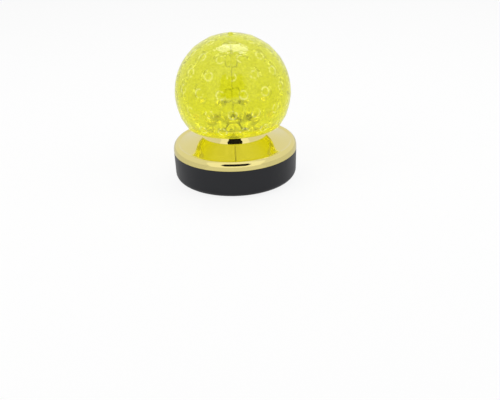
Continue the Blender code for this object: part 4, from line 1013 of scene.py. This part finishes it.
board_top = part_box("led_board")[1].z
resistor = block("resistor_master", (-0.8 * MM, -1.6 * MM, board_top),
                 (0.8 * MM, 1.6 * MM, board_top + 0.55 * MM), "panel_black", 0.12 * MM)
ring_of("light_resistors", resistor, "panel_black", LED_COUNT, led_radius,
        led_angle + RESISTOR_TURN)
print(LED_COUNT, "light sources and as many resistors")

# %% [markdown]
# ## Feet
# A rubber foot is a thick disc with a shallow hollow below, so that it stands on a ring and grips.
# Four could be turned, each in its place, but one is enough: the ring tree copies it.

# %% Feet
foot_low, foot_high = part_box("foot_1")
FOOT_R = (foot_high.x - foot_low.x) / 2
HOLLOW = 0.5 * MM
foot = turned("foot_master", rounded(
    [(0, foot_high.z), (FOOT_R, foot_high.z, 0.2 * MM), (FOOT_R, HOLLOW), (FOOT_R - 0.5 * MM, 0),
     (FOOT_R - 2.0 * MM, 0), (FOOT_R - 2.6 * MM, HOLLOW), (0, HOLLOW)], 0.3 * MM), "rubber", 48)
foot_radius, foot_angle = circle_of("foot_1")
ring_of("fine_feet", foot, "rubber", len(FEET), foot_radius, foot_angle, *FEET)
print("feet on a circle of", round(foot_radius / MM, 1), "mm")

# %% [markdown]
# ## Cover screws
# Three pan head screws hold the cover from below. A real thread is a spiral; seen in its hole it
# looks the same as plain rings, which a turned section gives for free. The cross recess is cut by
# two thin bars, as a punch would form it.

# %% Cover screws
SCREW_HEAD_R = 2.8 * MM
SCREW_HEAD = 1.8 * MM
SHANK_R = 1.3 * MM
THREAD_PITCH = 0.9 * MM
THREAD_DEPTH = 0.25 * MM
ARM = 1.5 * MM
ARM_HALF = 0.35 * MM


def screw(name, cad, slot):
    """A pan head screw with a cross recess, its head down, about the frame's axis."""
    low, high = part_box(cad)
    seat = low.z + SCREW_HEAD
    path = [(0, low.z), (SCREW_HEAD_R, low.z, 0.8 * MM), (SCREW_HEAD_R, seat), (SHANK_R, seat)]
    for number in range(int((high.z - seat - 2.5 * MM) / THREAD_PITCH)):
        z = seat + 1.0 * MM + number * THREAD_PITCH
        path += [(SHANK_R - THREAD_DEPTH, z, 0.05 * MM),
                 (SHANK_R, z + THREAD_PITCH / 2, 0.05 * MM)]
    path += [(0.3 * MM, high.z), (0, high.z)]
    bottom, top = low.z - MM, low.z + 0.9 * MM
    return cut(turned(name, rounded(path, 0.1 * MM, 2), slot, 32),
               block("recess_one", (-ARM, -ARM_HALF, bottom), (ARM, ARM_HALF, top)),
               block("recess_two", (-ARM_HALF, -ARM, bottom), (ARM_HALF, ARM, top)))


screw_radius, screw_angle = circle_of("cover_screw_1")
ring_of("fine_cover_screws", screw("screw_master", "cover_screw_1", "steel"), "steel",
        len(COVER_SCREWS), screw_radius, screw_angle, *COVER_SCREWS)
print("screws on a circle of", round(screw_radius / MM, 1), "mm")

# %% [markdown]
# ## Pieces with straight edges
# The sockets, buttons, switch, bush, lamp board and receiver are plain forms whose CAD meshes are
# already right. Redrawing them would only risk a wrong size. So a copy of each gets its flat faces
# joined, and every sharp edge gets a small rounding, so that it catches the light like a moulded or
# stamped edge. The panel round the sockets keeps its CAD mesh as it is.

# %% Softened copies of the CAD meshes
SHARP_EDGE = math.radians(32)


def softened(name, cad, body, slot, width):
    """A copy of a CAD node's mesh with rounded edges."""
    source = NODES[cad]
    bm = bmesh.new()
    bm.from_mesh(source.data)
    bm.transform(source.matrix_world)
    bmesh.ops.remove_doubles(bm, verts=bm.verts, dist=WELD)
    bmesh.ops.recalc_face_normals(bm, faces=bm.faces)
    bmesh.ops.dissolve_limit(bm, angle_limit=math.radians(1), verts=bm.verts[:],
                             edges=bm.edges[:])
    edges = [edge for edge in bm.edges if edge.is_manifold and edge.calc_face_angle() > SHARP_EDGE]
    bmesh.ops.bevel(bm, geom=edges, offset=width, segments=2, profile=0.5, affect='EDGES',
                    clamp_overlap=True)
    for face in bm.faces:
        face.smooth = True
    obj = mesh_object(name, bm, slot)
    obj.data.set_sharp_from_angle(angle=math.radians(ROUND_SHADE_LIMIT))
    # Large faces decide the shading, so flat faces stay flat beside their rounded edges
    shading = obj.modifiers.new("Even shading", 'WEIGHTED_NORMAL')
    shading.keep_sharp = True
    shading.weight = 100
    return place_for(applied(obj), body, slot, cad)


SOFT = (("fine_usb", "usb_socket", "base", "steel", 0.15),
        ("fine_card_slot", "card_slot", "base", "steel", 0.1),
        ("fine_jack", "power_jack", "base", "panel_black", 0.2),
        ("fine_switch", "switch_body", "base", "grey_plastic", 0.2),
        ("fine_knob", "switch_knob", "knob", "grey_plastic", 0.25),
        ("fine_next", "button_next", "next", "grey_plastic", 0.25),
        ("fine_play", "button_play", "play", "grey_plastic", 0.25),
        ("fine_previous", "button_previous", "previous", "grey_plastic", 0.25),
        ("fine_bush", "shaft_bush", "base", "brass", 0.15),
        ("fine_lamp_board", "led_board", "base", "board_white", 0.12),
        ("fine_receiver", "ir_receiver", "base", "panel_black", 0.2))
for name, cad, body, slot, width in SOFT:
    piece = softened(name, cad, body, slot, width * MM)
    print(name, len(piece.data.polygons), "faces")

# %% [markdown]
# ## Insides of the sockets
# A socket without its insides looks like a plain hole. The stick socket gets a white tongue with
# four contacts under it, the card slot a row of eight contacts, and the power inlet a plated pin.
# They are short bars, placed from the middle and the mouth of the socket that they belong to.

# %% Tongue, contacts and pin
usb, card_slot, jack = (middle_of(name) for name in ("usb_socket", "card_slot", "power_jack"))
MOUTH_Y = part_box("usb_socket")[1].y
CONTACT = 0.12 * MM


def contacts(name, middles, width, start, end, bottom):
    """A row of thin plated strips as one piece."""
    bm = bmesh.new()
    for x in middles:
        cuboid(bm, (x - width / 2, start, bottom), (x + width / 2, end, bottom + CONTACT))
    place_for(mesh_object(name, bm, "brass"), "base", "brass")


tongue = block("usb_tongue", (usb.x - 5.6 * MM, MOUTH_Y - 9.2 * MM, usb.z + 0.1 * MM),
               (usb.x + 5.6 * MM, MOUTH_Y - 0.8 * MM, usb.z + 1.9 * MM), "board_white", 0.2 * MM)
place_for(tongue, "base", "board_white")
contacts("usb_contacts", [usb.x + offset * MM for offset in (-3.6, -1.2, 1.2, 3.6)], 1.1 * MM,
         MOUTH_Y - 8.6 * MM, MOUTH_Y - 1.6 * MM, usb.z)
contacts("card_contacts", [card_slot.x + (number - 3.5) * 1.1 * MM for number in range(8)],
         0.7 * MM, MOUTH_Y - 8.0 * MM, MOUTH_Y - 2.5 * MM, card_slot.z - 0.6 * MM)

PIN_R = 1.04 * MM
PIN_TIP, PIN_ROOT = -0.3 * MM, -8.5 * MM
pin = turned("jack_pin", rounded([(0, PIN_TIP), (PIN_R, PIN_TIP), (PIN_R, PIN_ROOT),
                                  (0, PIN_ROOT)], 0.4 * MM),
             "steel", 48, (jack.x, MOUTH_Y, jack.z), along='Y')
place_for(pin, "base", "steel")
print("socket insides made")
